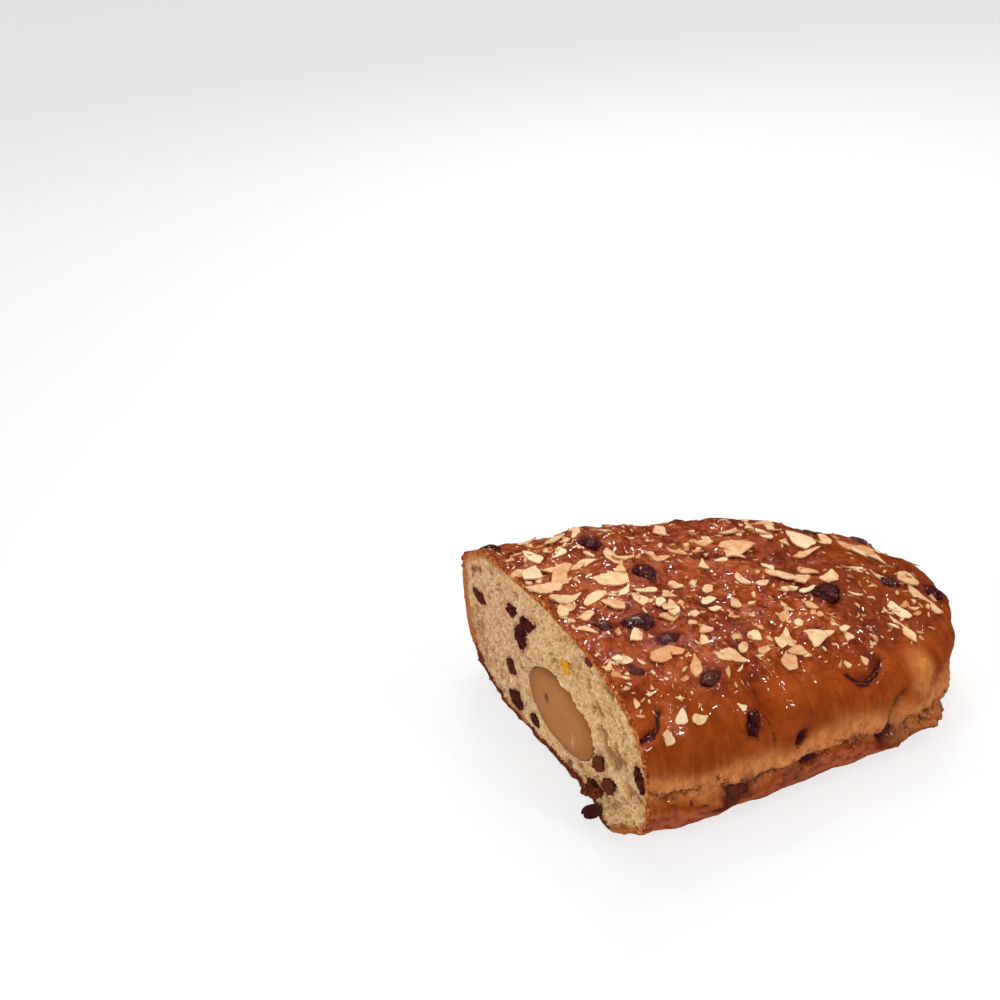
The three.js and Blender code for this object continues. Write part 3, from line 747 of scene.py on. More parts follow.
def crust_finish(colours):
    """Egg-washed crust: reddish crown, brown flanks, pale torn seam, brown foot, painted shade and sheen"""
    w = Wiring("glazed_crust", Coat_Roughness=0.06, Specular_IOR_Level=0.03)
    crown, pale, foot, painted_shade, veil, gloss, torn = w.attributes(
        "crown", "pale", "foot", "painted_shade", "veil", "gloss", "torn")
    broad = w.noise(22, 2)
    patch = w.noise(8, 3, 0.55)
    small = w.noise(2.8, 3, 0.55)
    fine = w.noise(0.9, 2, 0.5)
    grit = w.noise(1.5, 3, 0.6)
    dots = w.spread(w.cells(1.2), 0.05, 0.5, 1, 0)
    streaks = w.noise(2, 3, 0.5, w.stretched(w.vectors("run"), (1, 0.1, 1)))
    flat = w.math("SUBTRACT", 1, crown)

    glazed = w.layers(
        w.mix(crown, colours.flank, colours.crown),
        (w.times(w.spread(crown, 0, 1, 0.5, 1), w.spread(broad, 0.4, 0.62, 0, 0.6)), srgb(108, 36, 11)),
        (w.times(flat, w.spread(streaks, 0.45, 0.75, 0, 0.3)), srgb(178, 88, 36)),
        (w.times(w.spread(crown, 0, 1, 0.55, 1), w.spread(patch, 0.52, 0.34, 0, 0.55)),
         w.mix(crown, srgb(176, 88, 36), srgb(182, 100, 64))),
        (w.times(w.spread(crown, 0, 1, 0.4, 1), w.spread(patch, 0.53, 0.66, 0, 0.65)), BURNT),
        (w.times(crown, w.spread(small, 0.48, 0.34, 0, 0.5)), srgb(190, 108, 70)),
        (w.times(w.spread(crown, 0, 1, 0.25, 0.7), w.spread(small, 0.54, 0.68)), BURNT),
        (w.times(crown, w.spread(fine, 0.56, 0.68, 0, 0.3)), srgb(206, 140, 106)))

    seam_edge = w.plus(w.plus(pale, w.swing(patch, 0.35)), w.swing(streaks, 0.35))
    seam = w.mix(w.spread(small, 0.3, 0.65), srgb(196, 116, 64), colours.seam)
    foot_edge = w.plus(foot, w.swing(patch, 0.8))
    strip = w.mix(w.spread(small, 0.45, 0.65), colours.foot, srgb(138, 62, 34))
    broken = w.mix(w.spread(grit, 0.38, 0.46), srgb(118, 50, 24), srgb(178, 94, 46))
    broken = w.mix(w.spread(grit, 0.52, 0.62), broken, srgb(216, 148, 92))
    # Fissures: cracks in the torn seam, sunk in the bump and darkened with painted shade
    fissure = w.math("ABSOLUTE", w.math("SUBTRACT", w.noise(3.4, 4, 0.62), 0.5))
    fissure = w.times(w.spread(fissure, 0.004, 0.03, 1, 0), w.spread(torn, 0.08, 0.5))
    fissure = w.times(fissure, w.spread(torn, 0.8, 0.95, 1, 0))
    colour = w.layers(
        glazed,
        (w.spread(seam_edge, 0, 1.0, 0, 0.9), seam),
        (w.spread(foot_edge, 0.3, 0.8), strip),
        (w.times(torn, 0.9), broken),
        (w.times(fissure, 0.65), srgb(98, 38, 20)),
        # Painted sheen: a pinkish lightening on the glossy spots
        (w.times(gloss, 0.22), srgb(196, 126, 92)),
        # Painted shade in the raisins' hollows, and purple-brown fruit stains and fruit under the glaze
        (w.spread(veil, 0.05, 0.9, 0, 0.8), srgb(84, 30, 26)),
        # Painted shade in the creases, fold valleys and slits, and over the tip's crown
        (w.spread(painted_shade, 0.1, 1, 0, 0.95), srgb(54, 17, 10)))

    rough = w.plus(w.spread(patch, 0.3, 0.7, 0.36, 0.5), w.times(pale, 0.15))
    rough = w.math("SUBTRACT", rough, w.times(gloss, 0.15))
    height = w.times(small, w.spread(crown, 0, 1, 0.2, 0.8))
    height = w.plus(height, w.times(fine, w.spread(pale, 0, 0.8, 0.22, 0.5)))
    height = w.plus(height, w.times(grit, w.times(torn, 1.2)))
    height = w.math("SUBTRACT", height, w.times(fissure, 0.7))
    height = w.plus(height, w.times(dots, w.times(gloss, 0.35)))
    height = w.plus(height, w.times(streaks, w.times(flat, 0.2)))
    glaze = w.plus(w.spread(crown, 0, 1, 0.35, 0.8), w.times(gloss, 0.4))
    glaze = w.times(glaze, w.spread(patch, 0.35, 0.65, 0.5, 1.1))
    glaze = w.times(glaze, w.spread(pale, 0, 1, 1, 0.3))
    beads = w.times(w.plus(dots, small), w.times(gloss, 0.3))
    return w.paint(Base_Color=colour, Roughness=rough, Coat_Weight=glaze,
                   Normal=w.bump(height, 0.7), Coat_Normal=w.bump(beads, 0.7))


def crumb_finish(colours):
    """Open cream crumb, rosier on its far half, browner by the crust, with painted shade and highlights"""
    w = Wiring("crumb", Roughness=0.8, Subsurface_Weight=0.12, Subsurface_Scale=0.0012,
               Subsurface_Radius=(1.0, 0.7, 0.4), Specular_IOR_Level=0.15)
    pore, rim, stain, rosy, sunk = w.attributes("pore", "rim", "stain", "rosy", "sunk")
    broad = w.noise(14, 2)
    patch = w.noise(3, 3, 0.6)
    fine = w.noise(1.3, 3, 0.6)
    cells = w.cells(1.7, w.stretched(w.place, (1, 0.8, 1.25)))
    brown = w.plus(rim, w.swing(patch, 0.9))
    smear = w.times(stain, w.spread(patch, 0.35, 0.6, 0.6, 1.3))
    colour = w.layers(
        colours.crumb,
        (w.spread(broad, 0.35, 0.7, 0, 0.7), srgb(202, 152, 100)),
        (rosy, srgb(208, 150, 106)),
        # Painted highlights on the raised grain and shallow parts, painted shade in pits, hollows and open
        # pores
        (w.spread(fine, 0.45, 0.66, 0, 0.8), srgb(242, 218, 176)),
        (w.spread(cells, 0.35, 0.1, 0, 0.35), srgb(170, 124, 78)),
        (w.spread(sunk, 0.45, 0.9, 0, 0.75), srgb(146, 100, 58)),
        (w.spread(sunk, 0.45, 0.1, 0, 0.55), srgb(246, 220, 176)),
        (w.spread(pore, 0.15, 0.9, 0, 0.85), srgb(128, 84, 48)),
        (w.spread(brown, 0.1, 0.7, 0, 0.95), srgb(180, 108, 58)),
        (w.spread(smear, 0, 1), srgb(126, 68, 38)))
    height = w.plus(fine, w.times(cells, 0.8))
    return w.paint(Base_Color=colour, Normal=w.bump(height, 0.85))


def paste_finish(colours):
    """Dense baked almond paste, browner towards its edge"""
    w = Wiring("almond_paste", Subsurface_Weight=0.15, Subsurface_Scale=0.0015,
               Subsurface_Radius=(1.0, 0.6, 0.3), Specular_IOR_Level=0.2)
    edge, scratch, spot = w.attributes("edge", "scratch", "spot")
    broad = w.noise(11, 3)
    fine = w.noise(0.8, 3, 0.6)
    colour = w.layers(
        colours.paste,
        (w.spread(broad, 0.35, 0.7, 0, 0.55), srgb(170, 110, 62)),
        (w.spread(fine, 0.5, 0.8, 0, 0.35), srgb(204, 156, 110)),
        (w.spread(edge, 0.6, 1, 0, 0.55), srgb(136, 88, 50)),
        (scratch, srgb(206, 156, 112)),
        (spot, srgb(104, 50, 28)))
    return w.paint(Base_Color=colour, Roughness=w.spread(broad, 0.3, 0.7, 0.4, 0.6),
                   Normal=w.bump(fine, 0.18, 0.7))


def raisin_finish(colours):
    """Wrinkled purple-brown raisin skin, and red-brown flesh where one is cut or veiled by glaze"""
    w = Wiring("raisin_skin", Coat_Roughness=0.09, Specular_IOR_Level=0.1)
    cut, brown = w.attributes("cut", "brown")
    bloom = w.noise(2.4, 3, 0.6)
    fine = w.noise(0.8, 3, 0.6)
    flesh = w.mix(w.spread(bloom, 0.35, 0.6), srgb(50, 13, 15), srgb(104, 40, 32))
    flesh = w.mix(w.spread(fine, 0.45, 0.68, 0, 0.6), flesh, srgb(42, 12, 12))
    colour = w.layers(
        colours.raisin,
        (w.spread(bloom, 0.38, 0.62), srgb(90, 34, 34)),
        (w.spread(fine, 0.48, 0.66, 0, 0.75), srgb(24, 7, 9)),
        (w.times(cut, 0.9), flesh),
        (w.times(brown, w.spread(bloom, 0.3, 0.6, 1, 0.6)), srgb(118, 58, 36)))
    return w.paint(Base_Color=colour, Roughness=w.plus(0.32, w.times(cut, 0.2)),
                   Coat_Weight=w.spread(cut, 0, 0.6, 0.75, 0.25), Normal=w.bump(fine, 0.45))


def peel_finish(colours, name, veil):
    """Candied peel: amber, soft and shiny, browner under a veil of glaze"""
    w = Wiring(name, Roughness=0.35, Subsurface_Weight=0.3, Subsurface_Scale=0.002,
               Subsurface_Radius=(1.0, 0.6, 0.15), Specular_IOR_Level=0.3)
    patch = w.noise(2.5, 3)
    colour = w.layers(
        colours.peel,
        (w.spread(patch, 0.35, 0.65), srgb(212, 144, 28)),
        (w.spread(patch, 0.3, 0.7, veil, 0.5 * veil), srgb(190, 116, 54)))
    return w.paint(Base_Color=colour, Normal=w.bump(w.noise(0.8, 2), 0.2, 0.7))


def almond_finish(colours):
    """Flaked almond: cream, toasted tan at its rim, some flakes browner than others"""
    w = Wiring("flaked_almond", Roughness=0.42, Subsurface_Weight=0.15, Subsurface_Scale=0.001,
               Subsurface_Radius=(1.0, 0.7, 0.4), Specular_IOR_Level=0.3)
    edge, toast = w.attributes("edge", "toast")
    patch = w.noise(3, 3, 0.6)
    browned = w.plus(toast, w.swing(patch, 0.8))
    rim = w.times(w.spread(edge, 0.25, 1), w.spread(patch, 0.35, 0.6, 0.25, 0.9))
    colour = w.layers(
        colours.almond,
        (w.spread(patch, 0.42, 0.62, 0, 0.65), srgb(220, 180, 132)),
        (w.spread(toast, 0.02, 0.14, 0.6, 0), srgb(246, 224, 188)),
        (w.spread(browned, 0.1, 0.95, 0, 0.9), srgb(204, 136, 84)),
        (rim, srgb(190, 126, 74)))
    return w.paint(Base_Color=colour, Normal=w.bump(w.noise(0.8, 2), 0.2, 0.8))


# ---- Crust ----

CRUST_COLUMNS = 262
CRUST_ROWS = 330
RIM_COLUMNS = 3
INNER_COLUMNS = 20
UNDERSIDE_SHARE = 0.3          # of the rows' density, under the loaf
INNER_END = 5                  # the inner wall stops this far before the tip
FINE_TURNS = 4001              # steps for measuring the way round the loaf
FINE_STATIONS = 1601           # and the way along it
INNER, RIM, OUTER = range(3)   # the parts of the crust's sheet
UNDER_NEAR = (192, 215)        # where the near flank turns under the loaf, in degrees
UNDER_FAR = (325, 345)         # where the underside turns up to the far flank
BASE_CORNER = (212, 9)         # the near corner of the base and its half width, in degrees
WALL_ALONG = (0.5, 9)          # over this way from the cut the crust gets its full thickness

# Zones of the crust, each between two turns in degrees, two distances along or two heights above the seam
CROWN_EDGE = (122, 160)
CROWN_END = (95, 125)
PALE_ALONG = (15, 60)
TORN_FOOT = (-12, -6)
TORN_TOP = (0, 6)
SEAM_LIP = ((0, 1.5), (1.5, 7))
CRUMBLY_ALONG = (3, 11)
CRUMBLY_UP = (12, 30)
TIP_ALONG = (85, 108)
TIP_ROUND = (135, 155)
RAGGED_PLACES = ((12, 24), (120, 14))      # where the seam is torn most: along, half length


def evenly(values, weights, count):
    """Values picked so that the weighted way between them is even"""
    way = np.concatenate([[0], np.cumsum(weights)])
    return np.interp(np.linspace(0, way[-1], count), way, values)


def turns_round():
    """The rows' turns in radians, from under the loaf over the far flank and back under it"""
    fine = np.radians(np.linspace(-90, 270, FINE_TURNS))
    ring = smooth_form(0, fine)
    steps = length_of(np.diff(ring, axis=0))
    under = ring[1:, 2] < 0.5
    return evenly(fine, steps * np.where(under, UNDERSIDE_SHARE, 1), CRUST_ROWS)


def stations(count):
    """Distances along the loaf, closer together where it rounds off"""
    fine = np.linspace(0, LENGTH, FINE_STATIONS)
    runs = [smooth_form(fine, math.radians(around)) for around in (40, 90, 140, 180)]
    return evenly(fine, sum(length_of(np.diff(run, axis=0)) for run in runs), count)


def wall_thickness(along, turn, sizes):
    """The crust's thickness: thin at the cut, thicker under the loaf, and full from a few mm behind"""
    around = np.degrees(turn) % 360
    under = plateau(around, UNDER_NEAR, UNDER_FAR)
    corner = soft_hill(np.abs(around - BASE_CORNER[0]), BASE_CORNER[1])
    far = 1 - plateau(around, (25, 50), (330, 350))
    uneven = 1 + 0.7 * grain(smooth_form(0, turn), 3.5, 3, 28)
    thin = sizes.rim_thickness / MM * (1 + 0.6 * under + 1.3 * corner - 0.5 * far) * uneven
    full = sizes.crust_thickness / MM
    return thin + (full - thin) * smooth_step(*WALL_ALONG, along)


def sheet(name, columns, rows):
    """A flat sheet of so many columns and rows, and each vertex's column and row"""
    start_fresh()
    bpy.ops.mesh.primitive_grid_add(x_subdivisions=columns - 1, y_subdivisions=rows - 1, size=2)
    piece = named(name)
    places = (coordinates(piece)[:, :2] + 1) / 2 * (columns - 1, rows - 1)
    return piece, *np.rint(places).astype(int).T


def inner_stations():
    return np.linspace(0, LENGTH - INNER_END, INNER_COLUMNS)


def inner_wall(along, turn, sizes):
    """Points of the crust's inner wall"""
    points = smooth_form(along, turn)
    depth = wall_thickness(along, turn, sizes)
    points = points - outward(along, turn) * depth[:, None]
    at_cut = along <= 0
    points[at_cut, 0] = CUT_SLANT * points[at_cut, 1] + along[at_cut]
    points[at_cut, 0] -= forward_edge(*points[at_cut, 1:].T)
    return points


def seam_height(along, run):
    """Height of a seam above the tray"""
    return np.interp(along, [place[0] for place in run], [on_form(*place)[2] for place in run])


def above_seam(points, along):
    """How far a point is above the open seam of its own flank"""
    near = points[:, 1] < 0
    opened = 4 * (1 - smooth_step(8, 45, along))
    height = np.where(near, seam_height(along, NEAR_SEAM) + opened, seam_height(along, FAR_SEAM))
    return points[:, 2] - height + 2.2 * grain(points, 15, 2, 3)


def wobble(angle, seed):
    """How far an irregular outline is from its middle, seen along its axis"""
    ring = joined(1.2 * np.cos(angle) + 3.1 * seed, 1.2 * np.sin(angle), seed)
    wide = np.array([noise.noise(p) for p in ring.tolist()])
    small = np.array([noise.noise(p) for p in (2.6 * ring).tolist()])
    return 1 + 0.26 * wide + 0.16 * small


def seen_raisins():
    """The raisins in the crust as they show: some a little off their solid, or of another size"""
    rows = []
    for number, (along, around, long, wide, proud, turn) in enumerate(CRUST_RAISINS, 1):
        shift = SHIFTED_RAISINS.get(number, (0, 0, 0))
        share = RAISIN_SHARES.get(number, 1)
        rows.append((along + shift[0], around + shift[1], long * share, wide * share, proud + shift[2], turn))
    return rows


def socket_relief(points):
    """Hollows in the crust that the raisins sit in, with a raised uneven lip, and painted shade in them"""
    height, shade = np.zeros((2, len(points)))
    for seed, (along, around, long, wide, _, turn) in enumerate(seen_raisins(), 1):
        place, axes = crust_frame(along, around, turn)
        near = length_of(points - place) < 1.3 * long
        local = (points[near] - place) @ axes.T
        angle = np.arctan2(local[:, 1] / wide, local[:, 0] / long)
        reach = np.hypot(local[:, 0] / (long / 2), local[:, 1] / (wide / 2)) / wobble(angle, seed)
        reach += np.where(np.abs(local[:, 2]) < 7, 0, 9)
        reach += 0.22 * grain(points[near], 2.4, 2, seed)
        hollow = 1 - smooth_step(0.78, 1.0, reach)
        height[near] -= 1.9 * hollow
        height[near] += 0.6 * soft_hill(np.abs(reach - 1.22), 0.16)
        # Around each hollow the crust takes a purple-brown stain of the fruit
        around_it = 0.6 * (1 - smooth_step(1, 1.8, reach))
        shade[near] = np.maximum(shade[near], np.maximum(hollow, around_it))
    return height, shade


def glossy_field(points):
    """How glossy and blistered the glaze is, 0 to 1"""
    gloss = np.zeros(len(points))
    for along, around, radius, strength in GLOSSY_SPOTS:
        away = distance_to_place(points, along, around)
        gloss = np.maximum(gloss, strength * soft_hill(away, 0.75 * radius))
    return gloss


def crust_zones(points, along, turn):
    """Height above the seam, and how far the crust lies in each of its zones, 0 to 1"""
    around = np.degrees(turn)
    near_turn = np.where(np.cos(turn) < 0, around, 180 - around)
    above = above_seam(points, along)
    side = smooth_step(1, 5, points[:, 2])
    crown = 1 - smooth_step(*CROWN_EDGE, near_turn + 8 * grain(points, 12, 2, 11))
    crown *= 1 - 0.6 * smooth_step(*CROWN_END, along + 8 * grain(points, 12, 2, 25))
    ragged = 0.25 + 0.75 * sum(soft_hill(np.abs(along - middle), half) for middle, half in RAGGED_PLACES)
    fade = 13 + 6 * smooth_step(*PALE_ALONG, along)
    pale = smooth_step(-12 * ragged, -1, above) * (1 - smooth_step(0, 1, above / fade)) * side
    pale *= np.where(above < 0, np.clip(ragged + 0.2, 0, 0.8), 1)
    foot = 1 - smooth_step(-11 * ragged - 2, -8 * ragged + 1, above)
    torn = plateau(above, TORN_FOOT, TORN_TOP) * side
    crumbly = (1 - smooth_step(*CRUMBLY_ALONG, along)) * (1 - smooth_step(*CRUMBLY_UP, points[:, 2])) * side
    crumbly = crumbly * (points[:, 1] < 0)
    tip = smooth_step(*TIP_ALONG, along) * (1 - smooth_step(*TIP_ROUND, near_turn)) * side
    return above, side, crown, ragged, pale, foot, torn, crumbly, tip


def crust_detail(points, along, turn, sizes):
    """Fine relief and the fields that colour the crust, with painted shade in its creases, folds and slits"""
    above, side, crown, ragged, pale, foot, torn, crumbly, tip = crust_zones(points, along, turn)
    gloss = glossy_field(points) * (0.5 + 0.5 * grain(points, 3, 2, 19)).clip(0, 1)

    blister = sizes.blister_height / MM
    height = blister * grain(points, 2, 3, 1) * (0.2 + 0.8 * crown + 0.8 * gloss) * side
    height += side * (0.35 + 0.4 * crown) * grain(points, 9, 3, 2)
    height += side * crown * (0.8 * np.abs(grain(points, 6.5, 2, 12)) - 0.2)
    height += side * crown * (0.45 * np.abs(grain(points, 3.2, 2, 22)) - 0.1)
    height += side * 0.12 * (1 - crown) * grain(points * (1, 0.25, 0.25), 2.6, 2, 20)
    height += swollen(points, DETAIL_SWELLINGS)

    # Painted shade in the valleys of the torn folds and under the edges of flaps and shreds
    folds = ridges(points * (0.8, 1, 1), 9, 4, 1) - 0.55
    height += torn * ragged * (1.9 * folds + 0.8 * grain(points, 3, 3, 13))
    painted_shade = torn * ragged * 0.3 * smooth_step(-0.1, -0.4, folds)
    flap = grain(points * (0.7, 1, 1), 5.5, 3, 30)
    shred = grain(points * (0.8, 1, 1), 2.8, 3, 33)
    for edge, share, step, soft, darkness in (
            (flap, 0.4 + 0.6 * ragged, 1.1, 0.07, 0.2),
            (shred, 0.3 + 0.7 * ragged, 0.8, 0.06, 0.35 * ragged)):
        height += torn * share * step * (smooth_step(-soft, soft, edge) - 0.5)
        painted_shade = np.maximum(painted_shade, darkness * torn * soft_hill(np.abs(edge + 0.05) / 0.05, 0.8))
    upper = np.abs(above + 4.5 * grain(points, 8, 3, 14))
    upper_open = smooth_step(-0.1, 0.2, grain(points, 6, 3, 15))
    lower = np.abs(above + 7.5 + 5 * grain(points, 9, 3, 31))
    lower_open = smooth_step(0.05, 0.2, grain(points, 6, 3, 32)) * ragged
    height -= 1.5 * (soft_hill(upper, 0.6) * upper_open + soft_hill(lower, 0.6) * lower_open) * side
    slits = 0.65 * (soft_hill(upper, 0.4) * upper_open + soft_hill(lower, 0.4) * lower_open) * side
    # Painted shade in the slits and over the tip's crown
    painted_shade = np.maximum.reduce([painted_shade, slits, 0.4 * tip])
    height += 0.7 * plateau(above, *SEAM_LIP) * side
    height += 1.2 * crumbly * grain(points, 2.6, 3, 16)
    height += 0.5 * pale * grain(points, 2.2, 3, 23)

    wander = 0.7 * grain(points, 4, 3, 4)
    creases = [(0.5, 0.3 * half, 0.45 * half, darkness, run) for _, half, darkness, run in CREASES]
    creases += [(depth, half, 0.7 * half, darkness, run) for depth, half, darkness, run in FINE_CREASES]
    # Each crease sinks and gets painted shade along its middle
    for depth, half, half_dark, darkness, run in creases:
        away = np.maximum(distance_to_run(points, run_in_space(run)) + wander, 0)
        height -= depth * soft_hill(away, half)
        painted_shade = np.maximum(painted_shade, darkness * soft_hill(away, half_dark))

    # The sockets bring the painted shade of the raisins' hollows and the stain around them
    sockets, veil = socket_relief(points)
    for place_along, place_round, radius, strength in FRUIT_SHADOWS:
        away = distance_to_place(points, place_along, place_round) + 1.5 * grain(points, 4, 2, 26)
        veil = np.maximum(veil, strength * soft_hill(np.maximum(away, 0), radius / 1.5))
    over_peel = length_of((points - on_form(*SEEN_PEEL[:2])) * (1.5, 1, 0.8))
    pale = np.maximum.reduce([pale, 0.8 * crumbly, 0.8 * soft_hill(over_peel, 8)])
    torn = 0.7 * soft_hill(np.maximum(upper - 0.5, 0), 2.4) * (0.3 + 0.7 * upper_open) * side
    fields = {"crown": crown * side, "pale": pale, "foot": foot, "painted_shade": painted_shade, "veil": veil,
              "gloss": gloss, "torn": torn}
    return height + sockets, fields


def make_crust(sizes, finish):
    """The crust: an outer wall with all its relief, a thin rim at the cut and a plain inner wall"""
    outer = stations(CRUST_COLUMNS - RIM_COLUMNS - INNER_COLUMNS)
    inner = inner_stations()[::-1]
    alongs = np.concatenate([inner, np.zeros(RIM_COLUMNS), outer])
    kinds = np.repeat([INNER, RIM, OUTER], [INNER_COLUMNS, RIM_COLUMNS, len(outer)])
    turns = turns_round()
    crust, column, row = sheet("loaf_crust", CRUST_COLUMNS, CRUST_ROWS)
    along, turn, kind = alongs[column], turns[row], kinds[column]
    smooth = smooth_form(along, turn)
    out = outward(along, turn)
    height, fields = crust_detail(smooth, along, turn, sizes)
    height += solid_relief(smooth)
    height = np.where(smooth[:, 2] > 0, height, 0)
    outside = smooth + out * height[:, None]
    outside[:, 2] = np.maximum(outside[:, 2], 0)
    at_cut = along <= 0
    ragged = 0.4 + 1.3 * grain(smooth, 2.2, 3, 8)
    outside[at_cut, 0] = CUT_SLANT * outside[at_cut, 1] + ragged[at_cut]
    fade = 1 - smooth_step(0, 8, along)
    broken = 0.8 + 0.4 * grain(smooth, 2.5, 3, 27)
    outside[:, 0] -= forward_edge(*outside[:, 1:].T) * fade * broken

    inside = inner_wall(along, turn, sizes)
    share = (column - INNER_COLUMNS + 1) / (RIM_COLUMNS + 1)
    rim = inside + (outside - inside) * share[:, None]
    part = kind[:, None]
    points = np.where(part == INNER, inside, np.where(part == RIM, rim, outside))
    first = column == 0
    points[first] = points[first].mean(axis=0)
    set_coordinates(crust, to_frame(points))

    steps = length_of(np.diff(smooth_form(0, turns), axis=0))
    arc = np.concatenate([[0], np.cumsum(steps)])[row]
    set_attributes(crust, run=joined(along, arc, 0) * MM)
    rim = 1 - smooth_step(0.2, 1.6, along + grain(smooth, 2, 2, 29))
    fields["torn"] = np.maximum(fields["torn"], rim)
    around = np.degrees(turn) % 360
    underside = plateau(around, (212, 225), UNDER_FAR)
    within = {"torn": 1, "veil": 0.8 * underside}
    set_attributes(crust, **{name: np.where(kind == OUTER, values, within.get(name, 0))
                             for name, values in fields.items()})
    close_and_smooth(crust)
    finish_piece(crust, finish, "crust", "loaf")
    return crust


# ---- Crumb ----

FIRST_CUT_SEED = 41
CRUMB_STEP = 0.36
CRUMB_MARGIN = 3
SLAB_LENGTH = 200
BEFORE_CUT = 8                 # how far the body that trims the slab reaches out of the cut
FRONT_DEPTH = 6                # how deep the crumb's front with its pores is
HOLE_DEPTH = 4.5               # of the holes that raisins and peel sit in
PORE_STRETCH = 1.35            # how much longer pores are than wide
LOT_WAVE = np.array([127.1, 311.7, 74.7])
LOT_SCALE = 43758.5
OUTLINE_POINTS = 420


def oval(across, up, row):
    """How far points of the cut are out from an oval's middle, 1 at its outline, and their angle"""
    middle, height, long, wide, turn = row[:5]
    swing = math.radians(turn)
    a = ((across - middle) * math.cos(swing) + (up - height) * math.sin(swing)) / (long / 2)
    b = ((up - height) * math.cos(swing) - (across - middle) * math.sin(swing)) / (wide / 2)
    return np.hypot(a, b), np.arctan2(b, a)


def even_lot(middles):
    """A draw of 0 to 1 for each cell, the same each time, from the cell's middle"""
    return np.modf(np.abs(np.sin(middles @ LOT_WAVE) * LOT_SCALE))[0]


def pore_field(across, up):
    """Depth of the pores at the cut and how open they are, 0 to 1"""
    plane = joined(across, up, 0)
    swing = 0.55 + 0.6 * grain(plane, 26, 2, 6)
    warp_a = grain(plane, 3.2, 3, 7)
    warp_b = grain(plane, 3.2, 3, 17)
    lengthwise = across * np.cos(swing) + up * np.sin(swing) + 1.1 * warp_a
    sideways = up * np.cos(swing) - across * np.sin(swing) + 1.1 * warp_b
    coarse = 0.75 + 0.6 * smooth_step(20, -20, across)
    depth = 0.5 + 0.8 * grain(plane, 10, 2, 9) + 0.5 * grain(plane, 4.2, 2, 21)
    depth += 0.6 * np.abs(grain(plane, 2.1, 3, 10)) + 0.25 * grain(plane, 0.9, 2, 24)
    openness = np.zeros(len(up))
    for layer, (cell, share, deep) in enumerate(PORE_LAYERS):
        spots = joined(lengthwise / (PORE_STRETCH * cell), sideways / cell, 3.3 * layer)
        found = [noise.voronoi(p) for p in spots.tolist()]
        distance = np.array([f[0][0] for f in found])
        lot = even_lot(np.array([tuple(f[1][0]) for f in found]))
        radius = 0.26 + 0.36 * np.modf(lot * 17)[0]
        hole = np.where(lot < share, np.clip(1 - (distance / radius) ** 2, 0, 1), 0) ** 0.7
        depth += deep * hole * (0.5 + 0.5 * np.modf(lot * 31)[0])
        openness = np.maximum(openness, hole * (0.5 + 0.12 * layer))
    depth = depth * coarse
    for row in NAMED_PORES:
        reach, _ = oval(across, up, row)
        hole = np.clip(1 - (reach + 0.35 * warp_a) ** 2, 0, 1) ** 0.6
        depth += row[5] * hole
        openness = np.maximum(openness, hole * min(1, 0.2 + 1.2 * row[5] / row[3]))
    return depth, openness


def stain_field(across, up):
    """How brown the crumb is stained, 0 to 1"""
    plane = joined(across, up, 0)
    warp = 0.5 * grain(plane, 4, 3, 18)
    stain = np.zeros(len(up))
    for row in STAINS:
        reach = oval(across, up, row)[0] + warp
        stain = np.maximum(stain, row[5] * soft_hill(np.maximum(reach, 0), 0.62))
    for row in [*CUT_RAISINS, *JOINED_RAISINS]:
        reach = oval(across, up, row)[0] + warp
        stain = np.maximum(stain, 0.4 * (1 - smooth_step(1.05, 1.7, reach)))
    return stain


def raisin_holes(across, up):
    """Holes that the raisins and the peel at the cut sit in"""
    depth = np.zeros(len(up))
    for seed, row in enumerate([*CUT_RAISINS, *JOINED_RAISINS, CUT_PEEL], FIRST_CUT_SEED):
        reach, angle = oval(across, up, row)
        reach = reach / wobble(angle, seed)
        depth = np.maximum(depth, HOLE_DEPTH * (1 - smooth_step(0.84, 0.98, reach)))
    return depth


def outline_distance(across, up):
    """Distance from points of the cut to the outside of the loaf"""
    turns = np.linspace(0, 2 * math.pi, OUTLINE_POINTS + 1)[:-1]
    ring = crust_points(0, turns)[:, 1:]
    points = joined(across, up)
    least = np.full(len(points), np.inf)
    for start, end in zip(ring, np.roll(ring, -1, axis=0)):
        stretch = end - start
        share = np.clip((points - start) @ stretch / max(stretch @ stretch, 1e-9), 0, 1)
        least = np.minimum(least, length_of(points - start - share[:, None] * stretch))
    return least


def crumb_slab():
    """A slab with all the pores of the cut on its front, as large as the cut and longer than the loaf"""
    wide = WIDTH + 2 * CRUMB_MARGIN
    high = HEIGHT + 2 * CRUMB_MARGIN
    columns = int(wide / CRUMB_STEP)
    rows = int(high / CRUMB_STEP)
    slab, column, row = sheet("crumb", columns, rows)
    across = wide * (0.5 - column / (columns - 1))
    up = high * row / (rows - 1) - CRUMB_MARGIN
    depth, _ = pore_field(across, up)
    depth = np.maximum(depth + 0.25, raisin_holes(across, up))
    away = outline_distance(across, up)
    depth = depth * smooth_step(0.4, 2.4, away)
    front = CUT_SLANT * across + depth - forward_edge(across, up)
    set_coordinates(slab, to_frame(joined(front, across, up)))
    edit_all(slab)
    select_border()
    bpy.ops.mesh.extrude_region_move(TRANSFORM_OT_translate={"value": (SLAB_LENGTH * MM, 0, 0)})
    cap_and_turn_outwards()
    return slab


